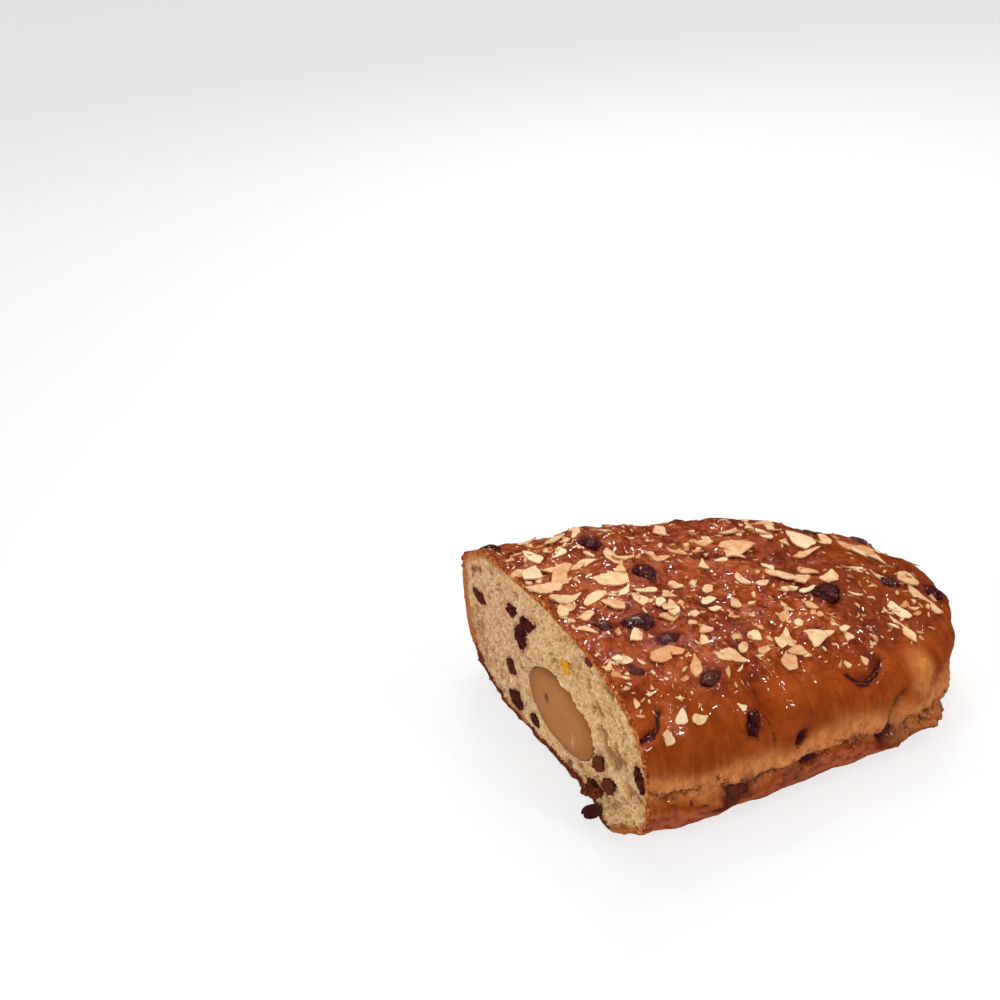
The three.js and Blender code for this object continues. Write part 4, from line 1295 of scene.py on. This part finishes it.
def inner_body(sizes):
    """All the space inside the crust, and some way before the cut"""
    inner = inner_stations()
    alongs = np.concatenate([[-BEFORE_CUT], inner])
    turns = turns_round()
    body, column, row = sheet("inner_body", len(alongs), CRUST_ROWS)
    along = alongs[column]
    points = inner_wall(along, turns[row], sizes)
    before = along < 0
    points[before] = inner_wall(np.zeros(before.sum()), turns[row][before], sizes)
    points[before, 0] += alongs[0]
    last = column == len(alongs) - 1
    points[last] = points[last].mean(axis=0)
    set_coordinates(body, to_frame(points))
    edit_all(body)
    bpy.ops.mesh.remove_doubles(threshold=MERGE)
    select_border()
    cap_and_turn_outwards()
    return body


def cut_with(piece, tool, operation):
    apply_modifier(piece, "BOOLEAN", operation=operation, solver="MANIFOLD", object=tool)
    remove(tool)


def make_crumb(sizes, colours):
    """The crumb: the inside of the loaf, with its pores at the cut and the bore for the paste"""
    crumb = crumb_slab()
    cut_with(crumb, inner_body(sizes), "INTERSECT")
    cut_with(crumb, paste_roll("paste_bore", GAP), "DIFFERENCE")
    points = to_cut(coordinates(crumb))
    across, up = points[:, 1:].T
    front = points[:, 0] - CUT_SLANT * across < FRONT_DEPTH
    depth, openness = pore_field(across, up)
    away = outline_distance(across, up)
    width = np.where(up < 10, 4, 4 + 1.5 * smooth_step(10, 45, across))
    # The pores' depth and openness, which the finish turns into painted shade and highlights
    set_attributes(crumb, sunk=np.where(front, np.clip(0.45 + 0.28 * (depth - 0.9), 0, 1), 0.5),
                   pore=np.where(front, openness, 0), rosy=0.8 * smooth_step(-5, 35, across),
                   rim=np.clip(1 - away / width, 0, 1), stain=np.where(front, stain_field(across, up), 0))
    smooth_by_angle(crumb, 60)
    finish_piece(crumb, crumb_finish(colours), "crumb")
    return crumb


# ---- Almond paste ----

PASTE_SIDES = 144
PASTE_RINGS = 26
NOSE_SHARES = np.sin(np.linspace(0, math.pi / 2, 8))
NOSE_SIZES = np.sqrt(np.clip(1 - NOSE_SHARES ** 2, 0, 1))
PASTE_SPOT = (2, 25.8, 1.3, 2)             # across, up, half wide, half high
PASTE_SCRATCH = (-18, 18.5, 0.8, 2.6)


def paste_alongs():
    """Distances from the cut of the rings that round the roll's nose"""
    return PASTE["end"] - PASTE["nose"] * (1 - NOSE_SHARES)


def paste_roll(name, grow):
    """A roll that starts before the cut and ends in a rounded nose inside the loaf"""
    alongs = np.concatenate([[-12, -12], paste_alongs()])
    sizes = np.concatenate([[0, 1], NOSE_SIZES])
    roll, column, row = sheet(name, len(alongs), PASTE_SIDES + 1)
    angle = 2 * math.pi * row / PASTE_SIDES
    size = sizes[column]
    swell = np.where(size > 0, grow, 0)
    across = PASTE["across"] + (PASTE["half_wide"] * size + swell) * np.cos(angle)
    up = PASTE["up"] + (PASTE["half_high"] * size + swell) * np.sin(angle)
    x = alongs[column] + np.where(column == len(alongs) - 1, grow, 0)
    set_coordinates(roll, to_frame(joined(x, across, up)))
    close_and_smooth(roll)
    return roll


def make_paste(colours):
    """The roll of almond paste, cut a little unevenly, with a soft edge"""
    start_fresh()
    bpy.ops.mesh.primitive_circle_add(vertices=PASTE_SIDES, radius=1, fill_type="NGON")
    paste = named("almond_paste_roll")
    edit_all(paste)
    for _ in range(PASTE_RINGS):
        bpy.ops.mesh.inset(thickness=0.96 / PASTE_RINGS)
    bpy.ops.mesh.poke()
    select_border()
    for number, share in enumerate(NOSE_SHARES):
        bpy.ops.mesh.extrude_region_move(TRANSFORM_OT_translate={"value": (0, 0, 1 + share)})
        if 0 < share < 1:
            shrink = NOSE_SIZES[number] / NOSE_SIZES[number - 1]
            bpy.ops.transform.resize(value=(shrink, shrink, 1), center_override=(0, 0, 0))
    bpy.ops.mesh.merge(type="CENTER")
    bpy.ops.object.mode_set(mode="OBJECT")
    flat = coordinates(paste)
    reach = np.hypot(flat[:, 0], flat[:, 1])
    level = np.unique(np.round(flat[:, 2], 3), return_inverse=True)[1]
    back = np.concatenate([[0], paste_alongs()])[level]
    across = PASTE["across"] + PASTE["half_wide"] * flat[:, 0]
    up = PASTE["up"] + PASTE["half_high"] * flat[:, 1]
    plane = joined(across, up, 0)
    face = level == 0
    sunk = 0.25 + 0.35 * grain(plane, 9, 3, 2) + 0.1 * grain(plane, 1.2, 2, 3)
    spot, scratch = (soft_hill(np.hypot((across - middle) / half_wide, (up - height) / half_high), 0.9)
                     for middle, height, half_wide, half_high in (PASTE_SPOT, PASTE_SCRATCH))
    sunk += 0.9 * smooth_step(0.93, 1.0, reach) + 0.5 * spot - 0.3 * scratch
    x = np.where(face, CUT_SLANT * across + sunk, back)
    set_coordinates(paste, to_frame(joined(x, across, up)))
    set_attributes(paste, edge=np.where(face, reach, 1), spot=np.where(face, spot, 0),
                   scratch=np.where(face, scratch, 0))
    close_and_smooth(paste)
    finish_piece(paste, paste_finish(colours), "almond_paste", "almond_paste")


# ---- Raisins and peel ----

RAISIN_FINENESS = 5
LOOSE_SEED = 71
EDGE_COLUMNS = 44
EDGE_SIDES = 14


def wrinkled(directions, seed, depth):
    """How far a raisin's skin is from its middle: dents, and sharp folds that run mostly lengthwise"""
    def folds(scale, shift):
        spots = directions * (0.5, 1, 1) * scale + seed * 3.7 + shift
        return 1 - 2.4 * np.abs([noise.noise(p) for p in spots.tolist()])
    dents = np.array([noise.noise(p) for p in (directions * 1.7 + seed * 1.9).tolist()])
    return 0.99 + depth * (0.3 * dents + 0.26 * (folds(2.4, 0) - 0.5) + 0.13 * (folds(5.2, 5) - 0.5))


def raisin_start(name):
    start_fresh()
    bpy.ops.mesh.primitive_ico_sphere_add(subdivisions=RAISIN_FINENESS, radius=1)
    return named(name)


def crust_raisin(name, row, seed, depth=0.5, brown=0.0):
    """A raisin, or a piece of peel, that sits in the crust"""
    along, around, long, wide, proud, turn = row
    thick = wide * RAISIN_THICKNESS
    piece = raisin_start(name)
    directions = coordinates(piece)
    outline = wobble(np.arctan2(directions[:, 1], directions[:, 0]), seed)
    local = directions * wrinkled(directions, seed, depth)[:, None]
    local[:, 2] = signed_power(local[:, 2], 0.72)
    local *= joined(long / 2 * outline, wide / 2 * outline, thick / 2)
    local[:, 2] += proud - thick / 2
    place, axes = crust_frame(along, around, turn)
    set_coordinates(piece, to_frame(place + local @ axes))
    set_attributes(piece, cut=0, brown=brown)
    bpy.ops.object.shade_smooth()
    return piece


def cut_raisin(name, row, seed, loose=False, depth=0.35, brown=0.0):
    """A raisin, or a piece of peel, at the cut: sliced with the crumb unless it is loose"""
    across, up, wide, high, turn, back = row
    piece = raisin_start(name)
    directions = coordinates(piece)
    angle = np.arctan2(directions[:, 2], directions[:, 1])
    local = directions * (wrinkled(directions[:, [1, 0, 2]], seed, depth) * wobble(angle, seed))[:, None]
    local *= (CUT_RAISIN_DEPTH / 2, wide / 2, high / 2)
    swing = math.radians(turn)
    y = local[:, 1] * math.cos(swing) - local[:, 2] * math.sin(swing)
    z = local[:, 1] * math.sin(swing) + local[:, 2] * math.cos(swing)
    points = joined(back + CUT_SLANT * across + local[:, 0], across + y, up + z)
    cut = np.zeros(len(points))
    if not loose:
        rough = 0.1 + 0.9 * np.abs(grain(points * (0, 1, 1), 2.6, 2, seed))
        plane = CUT_SLANT * points[:, 1] + rough - forward_edge(points[:, 1], points[:, 2])
        inside = 1 - smooth_step(0.8, 0.97, np.hypot(directions[:, 1], directions[:, 2]))
        cut = smooth_step(-0.2, 0.3, plane - points[:, 0]) * (0.6 + 0.4 * inside)
        points[:, 0] = np.maximum(points[:, 0], plane)
    set_coordinates(piece, to_frame(points))
    set_attributes(piece, cut=cut, brown=cut * brown)
    bpy.ops.object.shade_smooth()
    return piece


def raisin_edge(name, run, radius, seed):
    """The edge of a raisin that shows along a slit in the crust, wrinkled and thinner to its ends"""
    edge, column, row = sheet(name, EDGE_COLUMNS, EDGE_SIDES + 1)
    places = np.array([crust_point(along, around) for along, around in run])
    steps = np.concatenate([[0], np.cumsum(length_of(np.diff(places, axis=0)))])
    share = column / (EDGE_COLUMNS - 1)
    way = steps[-1] * share
    middle = joined(*[np.interp(way, steps, places[:, k]) for k in range(3)])
    out = outward(run[1][0], math.radians(run[1][1]))
    lengthwise = (places[-1] - places[0]) / np.linalg.norm(places[-1] - places[0])
    sideways = np.cross(out, lengthwise)
    angle = 2 * math.pi * row / EDGE_SIDES
    size = radius * np.sqrt(np.clip(1 - (2 * share - 1) ** 4, 0, 1))
    spots = middle + 2 * joined(np.cos(angle), np.sin(angle), 0)
    lump = 1 + 0.5 * grain(spots, 2.2, 3, seed)
    ring = np.cos(angle)[:, None] * sideways + np.sin(angle)[:, None] * out
    set_coordinates(edge, to_frame(middle + ring * (size * lump)[:, None] - 0.25 * radius * out))
    set_attributes(edge, cut=0, brown=0)
    close_and_smooth(edge)
    return edge


def make_raisins(colours):
    """Each raisin stands for its own solid"""
    finish = raisin_finish(colours)
    for number, row in enumerate(seen_raisins(), 1):
        piece = crust_raisin(f"crust_raisin_{number:02d}", row, number, brown=VEILED_RAISINS.get(number, 0))
        finish_piece(piece, finish, "raisin", f"raisin_crust_{number:02d}")
    for number, row in enumerate(CUT_RAISINS, 1):
        seed = FIRST_CUT_SEED + number - 1
        piece = cut_raisin(f"cut_raisin_{number:02d}", row, seed, brown=BROWN_RAISINS.get(number, 0))
        finish_piece(piece, finish, "raisin", f"raisin_cut_{number:02d}")
    seed = FIRST_CUT_SEED + len(CUT_RAISINS)
    lobes = [cut_raisin(f"lobe_{k}", row, seed + k) for k, row in enumerate(JOINED_RAISINS)]
    finish_piece(join(lobes, "cut_raisin_pair"), finish, "raisin", "raisin_cut_pair")
    piece = cut_raisin("cut_raisin_loose", LOOSE_RAISIN, LOOSE_SEED, loose=True, depth=0.14)
    finish_piece(piece, finish, "raisin", "raisin_cut_loose")
    for number, (radius, run) in enumerate(RAISIN_EDGES, 1):
        finish_piece(raisin_edge(f"raisin_edge_{number}", run, radius, number), finish, "raisin")


def make_crumbs(finish):
    """Crumbs of brown crust at the foot of the cut"""
    crumbs = []
    for number, (across, up, wide, high, back) in enumerate(CRUST_CRUMBS):
        crumb = raisin_start(f"crumb_{number}")
        points = coordinates(crumb) * (3.2, wide / 2, high / 2)
        points *= 1 + 0.35 * grain(points, 2.6, 2, number)[:, None]
        set_coordinates(crumb, to_frame(points + (back + CUT_SLANT * across, across, up)))
        set_attributes(crumb, torn=0.6, veil=0.6)
        bpy.ops.object.shade_smooth()
        crumbs.append(crumb)
    finish_piece(join(crumbs, "crust_crumbs"), finish, "crust")


def make_peel(colours):
    """Candied peel in the crust and at the cut"""
    piece = crust_raisin("crust_peel", SEEN_PEEL, len(CRUST_RAISINS) + 1, depth=0.2)
    finish_piece(piece, peel_finish(colours, "glazed_peel", 1.0), "candied_peel", "peel_crust")
    seed = FIRST_CUT_SEED + len(CUT_RAISINS) + len(JOINED_RAISINS)
    piece = cut_raisin("cut_peel", CUT_PEEL, seed, depth=0.1)
    finish_piece(piece, peel_finish(colours, "candied_peel", 0.0), "candied_peel", "peel_cut")


# ---- Flaked almonds ----

# Kinds of flake: how pointed, then each break as its direction in degrees and its distance
FLAKE_KINDS = [
    (0.35,), (0.45, (200, 0.75)), (0.2, (10, 0.6)), (0.4, (150, 0.5)), (0.1, (80, 0.5), (190, 0.5)),
    (0.3, (300, 0.35), (20, 0.5)), (0.5, (35, 0.35)), (0.25, (215, 0.4), (100, 0.5)),
    (0.1, (90, 0.5), (270, 0.55), (15, 0.8)), (0.2, (60, 0.3), (300, 0.4), (180, 0.4)), (0.08,),
    (0.3, (60, 0.2), (200, 0.35)),
]
BREAK_SHARPNESS = 16           # how sharp the corners at the breaks are
FLAKE_FOLLOW = 0.65            # how much a flake bends with the crust under it
FRAGMENT_LONG = (1.3, 4)
BROKEN_LONG = (3.4, 7)
FRAGMENT_ROUND = (45, 150)
PROBE = 7                      # a flake is laid on the crust from this far above
FLAKE_SUNK = 0.05              # how far a flake sinks in
STACKED_SUNK = -0.5            # the same for one that lies on another
FRAGMENT_SUNK = 0.2
FLAKE_TILT = 8                 # degrees
FRAGMENT_TILT = 16
STREWN_ALONG = (3, 152)        # where the strewn bits begin, and over how much they lie
STREWN_ROUND = (93, 60)        # their middle, and how far they spread
FRAGMENT_KINDS = (3, 5, 8, 9, 11)
FRAGMENT_SIDES = 9


def flake_model(number, sides=28, rings=(0.9, 0.7, 0.4)):
    """A flat almond slice of unit half length, broken off where its kind says"""
    pointed, *breaks = FLAKE_KINDS[number % len(FLAKE_KINDS)]
    start_fresh()
    bpy.ops.mesh.primitive_circle_add(vertices=sides, radius=1, fill_type="NGON")
    flake = named(f"flake_model_{number}")
    outline = coordinates(flake)
    angle = np.arctan2(outline[:, 1], outline[:, 0])
    inverse = np.ones(len(angle))
    for turn, distance in breaks:
        towards = np.clip(np.cos(angle - math.radians(turn)), 0, 1)
        inverse += (towards / distance) ** BREAK_SHARPNESS
    reach = inverse ** (-1 / BREAK_SHARPNESS)
    reach *= 1 + 0.06 * np.sin(3 * angle + number) + 0.04 * np.sin(7 * angle + 2 * number)
    reach *= 1 + 0.03 * np.sin(11 * angle + 3 * number)
    flat = joined(reach * np.cos(angle), reach * np.sin(angle) * (1 - pointed * np.cos(angle)))
    low = flat.min(axis=0)
    high = flat.max(axis=0)
    outline[:, :2] = (2 * flat - low - high) / (high - low)
    set_coordinates(flake, outline)
    middle = outline.mean(axis=0)
    bpy.ops.object.mode_set(mode="EDIT")
    before = 1
    for share in rings:
        bpy.ops.mesh.inset(thickness=0.001, use_even_offset=False)
        bpy.ops.transform.resize(value=(share / before, share / before, 1), center_override=middle)
        before = share
    bpy.ops.mesh.poke()
    select_border()
    bpy.ops.object.mode_set(mode="OBJECT")
    rim = np.zeros(len(flake.data.vertices), bool)
    flake.data.vertices.foreach_get("select", rim)
    bpy.ops.object.mode_set(mode="EDIT")
    bpy.ops.mesh.select_mode(type="VERT")
    bpy.ops.object.mode_set(mode="OBJECT")
    set_attributes(flake, edge=rim.astype(float))
    apply_modifier(flake, "SOLIDIFY", thickness=1.0, offset=1.0)
    return flake


def laid_flake(model, row, toast, crust_tree, sizes, draw, tilt, sunk):
    """A copy of a model, laid on the crust and bent with it"""
    along, around, long, wide, turn = row
    flake = model.copy()
    flake.data = model.data.copy()
    bpy.context.collection.objects.link(flake)
    unit = coordinates(flake)
    place, axes = crust_frame(along, around, turn)
    a = unit[:, 0] * long / 2
    b = unit[:, 1] * wide / 2
    bend = (0.1 + 0.3 * draw()) * (1 if draw() < 0.7 else -0.6)
    curl = bend * ((a + 0.4 * b) ** 2 - 0.1 * long * long) / long
    lean_a = math.tan(math.radians(tilt * (2 * draw() - 1)))
    lean_b = math.tan(math.radians(tilt * (2 * draw() - 1)))
    above = place + joined(a, b, PROBE) @ axes
    down = Vector(-axes[2])
    fall = np.zeros(len(a))
    for i, point in enumerate(to_frame(above)):
        hit = crust_tree.ray_cast(Vector(point), down, 2.5 * PROBE * MM)
        fall[i] = PROBE - hit[3] / MM if hit[0] else 0
    ground = FLAKE_FOLLOW * fall + (1 - FLAKE_FOLLOW) * np.quantile(fall, 0.75)
    thickness = sizes.flake_thickness / MM
    height = ground + unit[:, 2] * thickness - sunk + curl + lean_a * a + lean_b * b
    set_coordinates(flake, to_frame(place + joined(a, b, height) @ axes))
    set_attributes(flake, toast=toast)
    return flake


def places_of(rows):
    """Each row's place on the crust and its length"""
    return [(crust_point(*row[:2]), row[2]) for row in rows]


def is_clear(place, long, others):
    return all(np.linalg.norm(place - other) > (long + size) / 2 for other, size in others)


def small_flake_rows():
    """The solid's small flakes, drawn by its own rule where there is room"""
    draw = seeded_draw(SEED)

    def between(limits):
        return limits[0] + (limits[1] - limits[0]) * draw()

    others = places_of([*CRUST_RAISINS, CRUST_PEEL, *LARGE_FLAKES])
    rows = []
    for _ in range(SMALL_FLAKE_TRIES):
        long = between(SMALL_FLAKE_LONG)
        along = between(FLAKED_ALONG)
        around = between(FLAKED_ROUND)
        wide = long * between(SMALL_FLAKE_WIDE)
        turn = 180 * draw()
        place = crust_point(along, around)
        if is_clear(place, long, others):
            rows.append((along, around, long, wide, turn))
            others.append((place, long))
        if len(rows) == SMALL_FLAKES:
            break
    return rows


def strewn_rows(count, longs, draw):
    """Bits of almond strewn over the crown, thick along its middle and sparse down the flanks"""
    rows = []
    raisins = places_of(CRUST_RAISINS)
    while len(rows) < count:
        along = STREWN_ALONG[0] + STREWN_ALONG[1] * draw() ** 1.35
        around = STREWN_ROUND[0] + STREWN_ROUND[1] * (draw() + draw() + draw() - 1.5)
        if not FRAGMENT_ROUND[0] < around < FRAGMENT_ROUND[1]:
            continue
        long = longs[0] + (longs[1] - longs[0]) * draw() ** 1.7
        row = (along, around, long, long * (0.28 + 0.45 * draw()), 360 * draw())
        if is_clear(crust_point(along, around), 0.8 * long, raisins):
            rows.append(row)
    return rows


def make_flakes(crust, sizes, colours):
    """Flaked almonds and their fragments, as one piece each"""
    finish = almond_finish(colours)
    crust_tree = BVHTree.FromObject(crust, bpy.context.evaluated_depsgraph_get())
    draw = seeded_draw(SEED + 11)
    models = [flake_model(number) for number in range(len(FLAKE_KINDS))]
    flakes = []
    laid = []
    rows = [*LARGE_FLAKES, *small_flake_rows(), *BROKEN_FLAKES]
    rows += strewn_rows(sizes.broken_flakes, BROKEN_LONG, draw)
    for number, row in enumerate(rows):
        toast = TOASTED_FLAKES.get(number, 0.62 * draw() ** 1.4)
        lot = int(draw() * len(models))
        kind = LARGE_KINDS[number] if number < len(LARGE_KINDS) else lot
        along, around, long, wide, turn = row
        grown = 1.1 - 0.04 * smooth_step(40, 90, along)
        row = (along, around, long * grown, wide * grown, turn)
        place = crust_point(along, around)
        sunk = FLAKE_SUNK if is_clear(place, 0.5 * long, laid) else STACKED_SUNK
        laid.append((place, 0.9 * long))
        flakes.append(laid_flake(models[kind], row, toast, crust_tree, sizes, draw, FLAKE_TILT, sunk))
    whole = join(flakes, "almond_flakes")
    bits = [flake_model(number, FRAGMENT_SIDES, rings=()) for number in FRAGMENT_KINDS]
    fragments = []
    for row in strewn_rows(sizes.fragments, FRAGMENT_LONG, draw):
        toast = 0.1 + 0.75 * draw()
        model = bits[int(draw() * len(bits))]
        fragments.append(
            laid_flake(model, row, toast, crust_tree, sizes, draw, FRAGMENT_TILT, FRAGMENT_SUNK))
    small = join(fragments, "almond_fragments")
    for piece in (whole, small):
        smooth_by_angle(piece, 35)
        finish_piece(piece, finish, "flaked_almond")
    for model in [*models, *bits]:
        remove(model)


# ---- Stage ----

CAMERA_PLACE = (-167.78, -432.97, 367.33)      # in the cut's frame
CAMERA_TURN = (61.082, 4.743, -22.494)         # degrees about X, then Y, then Z
LENS = 55.52

# Lights in the shared frame: place in metres, width, power in watts
LIGHTS = {
    "overhead_soft": ((0.05, 0.25, 0.85), 0.3, 2.1),
    "left_soft": ((-0.85, -0.35, 0.45), 0.36, 3.8),
    "back_soft": ((0.3, 0.7, 0.5), 0.3, 1.2),
    "front_lamp": ((0.3, -0.75, 0.6), 0.09, 2.2),
}
# Small lamps whose light glints in the glaze, from behind the loaf over it to its near side
GLINT_LAMPS = [
    (0.3, 0.8, 0.5), (0.15, 0.65, 0.7), (0.42, 0.5, 0.72), (0.3, 0.28, 0.9), (0.1, 0, 1),
    (0.45, -0.1, 0.88), (0.2, -0.35, 0.92), (0.42, -0.5, 0.75), (0.9, 0.2, 0.45), (-0.2, 0.4, 0.9),
    (-0.9, -0.25, 0.25),
]
GLINT_WIDTH = 0.03
GLINT_POWER = 0.62
LAMP_COLOUR = (1, 0.94, 0.88)
GLINT_COLOUR = (1, 0.86, 0.74)
FLOOR_SIZE = 8
WORLD_STRENGTH = 0.12
SENSOR_WIDTH = 36


def make_stage():
    """Pale floor, soft lights, and the camera"""
    scene = bpy.context.scene
    scene.view_settings.view_transform = "Standard"
    start_fresh()
    bpy.ops.mesh.primitive_plane_add(size=FLOOR_SIZE)
    floor = named("floor")
    w = Wiring("pale_floor", Roughness=0.9, Specular_IOR_Level=0.1, Emission_Strength=0.72)
    floor.data.materials.append(w.paint(Base_Color=(0.26, 0.28, 0.3), Emission_Color=(1, 1, 1)))
    floor.visible_glossy = False

    world = bpy.data.worlds.new("studio")
    world.use_nodes = True
    world.node_tree.nodes["Background"].inputs["Color"].default_value = (*LAMP_COLOUR, 1)
    world.node_tree.nodes["Background"].inputs["Strength"].default_value = WORLD_STRENGTH
    world.cycles_visibility.glossy = False
    scene.world = world

    glints = {f"glint_lamp_{k}": (place, GLINT_WIDTH, GLINT_POWER) for k, place in enumerate(GLINT_LAMPS, 1)}
    for name, (place, width, power) in {**LIGHTS, **glints}.items():
        start_fresh()
        bpy.ops.object.light_add(type="AREA", location=place)
        light = named(name)
        light.data.size = width
        light.data.energy = power
        light.data.color = GLINT_COLOUR if name in glints else LAMP_COLOUR
        light.rotation_euler = (-Vector(place)).to_track_quat("-Z", "Y").to_euler()
        light.visible_glossy = not name.endswith("soft")

    start_fresh()
    bpy.ops.object.camera_add()
    camera = named("camera")
    camera.data.lens = LENS
    camera.data.sensor_width = SENSOR_WIDTH
    turn = Euler(math.radians(angle) for angle in CAMERA_TURN)
    camera.matrix_world = Matrix.LocRotScale(Vector(to_frame(CAMERA_PLACE)), turn, None)
    scene.camera = camera


# ---- Add-on ----

class StollenOperator:
    """What all the operators share"""

    bl_options = {"REGISTER", "UNDO"}

    @property
    def sizes(self):
        return bpy.context.scene.stollen_sizes

    @property
    def colours(self):
        return bpy.context.scene.stollen_colours


class STOLLEN_OT_crust(StollenOperator, bpy.types.Operator):
    """Make the glazed crust"""

    bl_idname = "stollen.crust"
    bl_label = "Crust"

    def execute(self, context):
        finish = crust_finish(self.colours)
        make_crust(self.sizes, finish)
        make_crumbs(finish)
        return {"FINISHED"}


class STOLLEN_OT_crumb(StollenOperator, bpy.types.Operator):
    """Make the crumb with its pores at the cut"""

    bl_idname = "stollen.crumb"
    bl_label = "Crumb"

    def execute(self, context):
        make_crumb(self.sizes, self.colours)
        return {"FINISHED"}


class STOLLEN_OT_paste(StollenOperator, bpy.types.Operator):
    """Make the roll of almond paste"""

    bl_idname = "stollen.paste"
    bl_label = "Almond paste"

    def execute(self, context):
        make_paste(self.colours)
        return {"FINISHED"}


class STOLLEN_OT_raisins(StollenOperator, bpy.types.Operator):
    """Make the raisins in the crust and at the cut"""

    bl_idname = "stollen.raisins"
    bl_label = "Raisins"

    def execute(self, context):
        make_raisins(self.colours)
        return {"FINISHED"}


class STOLLEN_OT_peel(StollenOperator, bpy.types.Operator):
    """Make the candied peel"""

    bl_idname = "stollen.peel"
    bl_label = "Candied peel"

    def execute(self, context):
        make_peel(self.colours)
        return {"FINISHED"}


class STOLLEN_OT_flakes(StollenOperator, bpy.types.Operator):
    """Lay the flaked almonds and their fragments on the crust"""

    bl_idname = "stollen.flakes"
    bl_label = "Flaked almonds"

    def execute(self, context):
        make_flakes(bpy.data.objects["loaf_crust"], self.sizes, self.colours)
        return {"FINISHED"}


class STOLLEN_OT_stage(StollenOperator, bpy.types.Operator):
    """Make the floor, the lights and the camera"""

    bl_idname = "stollen.stage"
    bl_label = "Stage"

    def execute(self, context):
        make_stage()
        return {"FINISHED"}


OPERATORS = [
    STOLLEN_OT_crust, STOLLEN_OT_crumb, STOLLEN_OT_paste, STOLLEN_OT_raisins, STOLLEN_OT_peel,
    STOLLEN_OT_flakes, STOLLEN_OT_stage,
]


class STOLLEN_PT_panel(bpy.types.Panel):
    """Lists the stollen's settings and pieces"""

    bl_label = "Stollen"
    bl_space_type = "VIEW_3D"
    bl_region_type = "UI"
    bl_category = "Stollen"

    def draw(self, context):
        for group in (context.scene.stollen_sizes, context.scene.stollen_colours):
            for name in group.__annotations__:
                self.layout.prop(group, name)
        for operator in OPERATORS:
            self.layout.operator(operator.bl_idname)


CLASSES = [StollenSizes, StollenColours, *OPERATORS, STOLLEN_PT_panel]


def register():
    for cls in CLASSES:
        bpy.utils.register_class(cls)
    bpy.types.Scene.stollen_sizes = PointerProperty(type=StollenSizes)
    bpy.types.Scene.stollen_colours = PointerProperty(type=StollenColours)


def unregister():
    del bpy.types.Scene.stollen_colours
    del bpy.types.Scene.stollen_sizes
    for cls in reversed(CLASSES):
        bpy.utils.unregister_class(cls)


def main():
    register()
    bpy.ops.stollen.crust()
    bpy.ops.stollen.crumb()
    bpy.ops.stollen.paste()
    bpy.ops.stollen.raisins()
    bpy.ops.stollen.peel()
    bpy.ops.stollen.flakes()
    bpy.ops.stollen.stage()


if __name__ == "__main__":
    main()
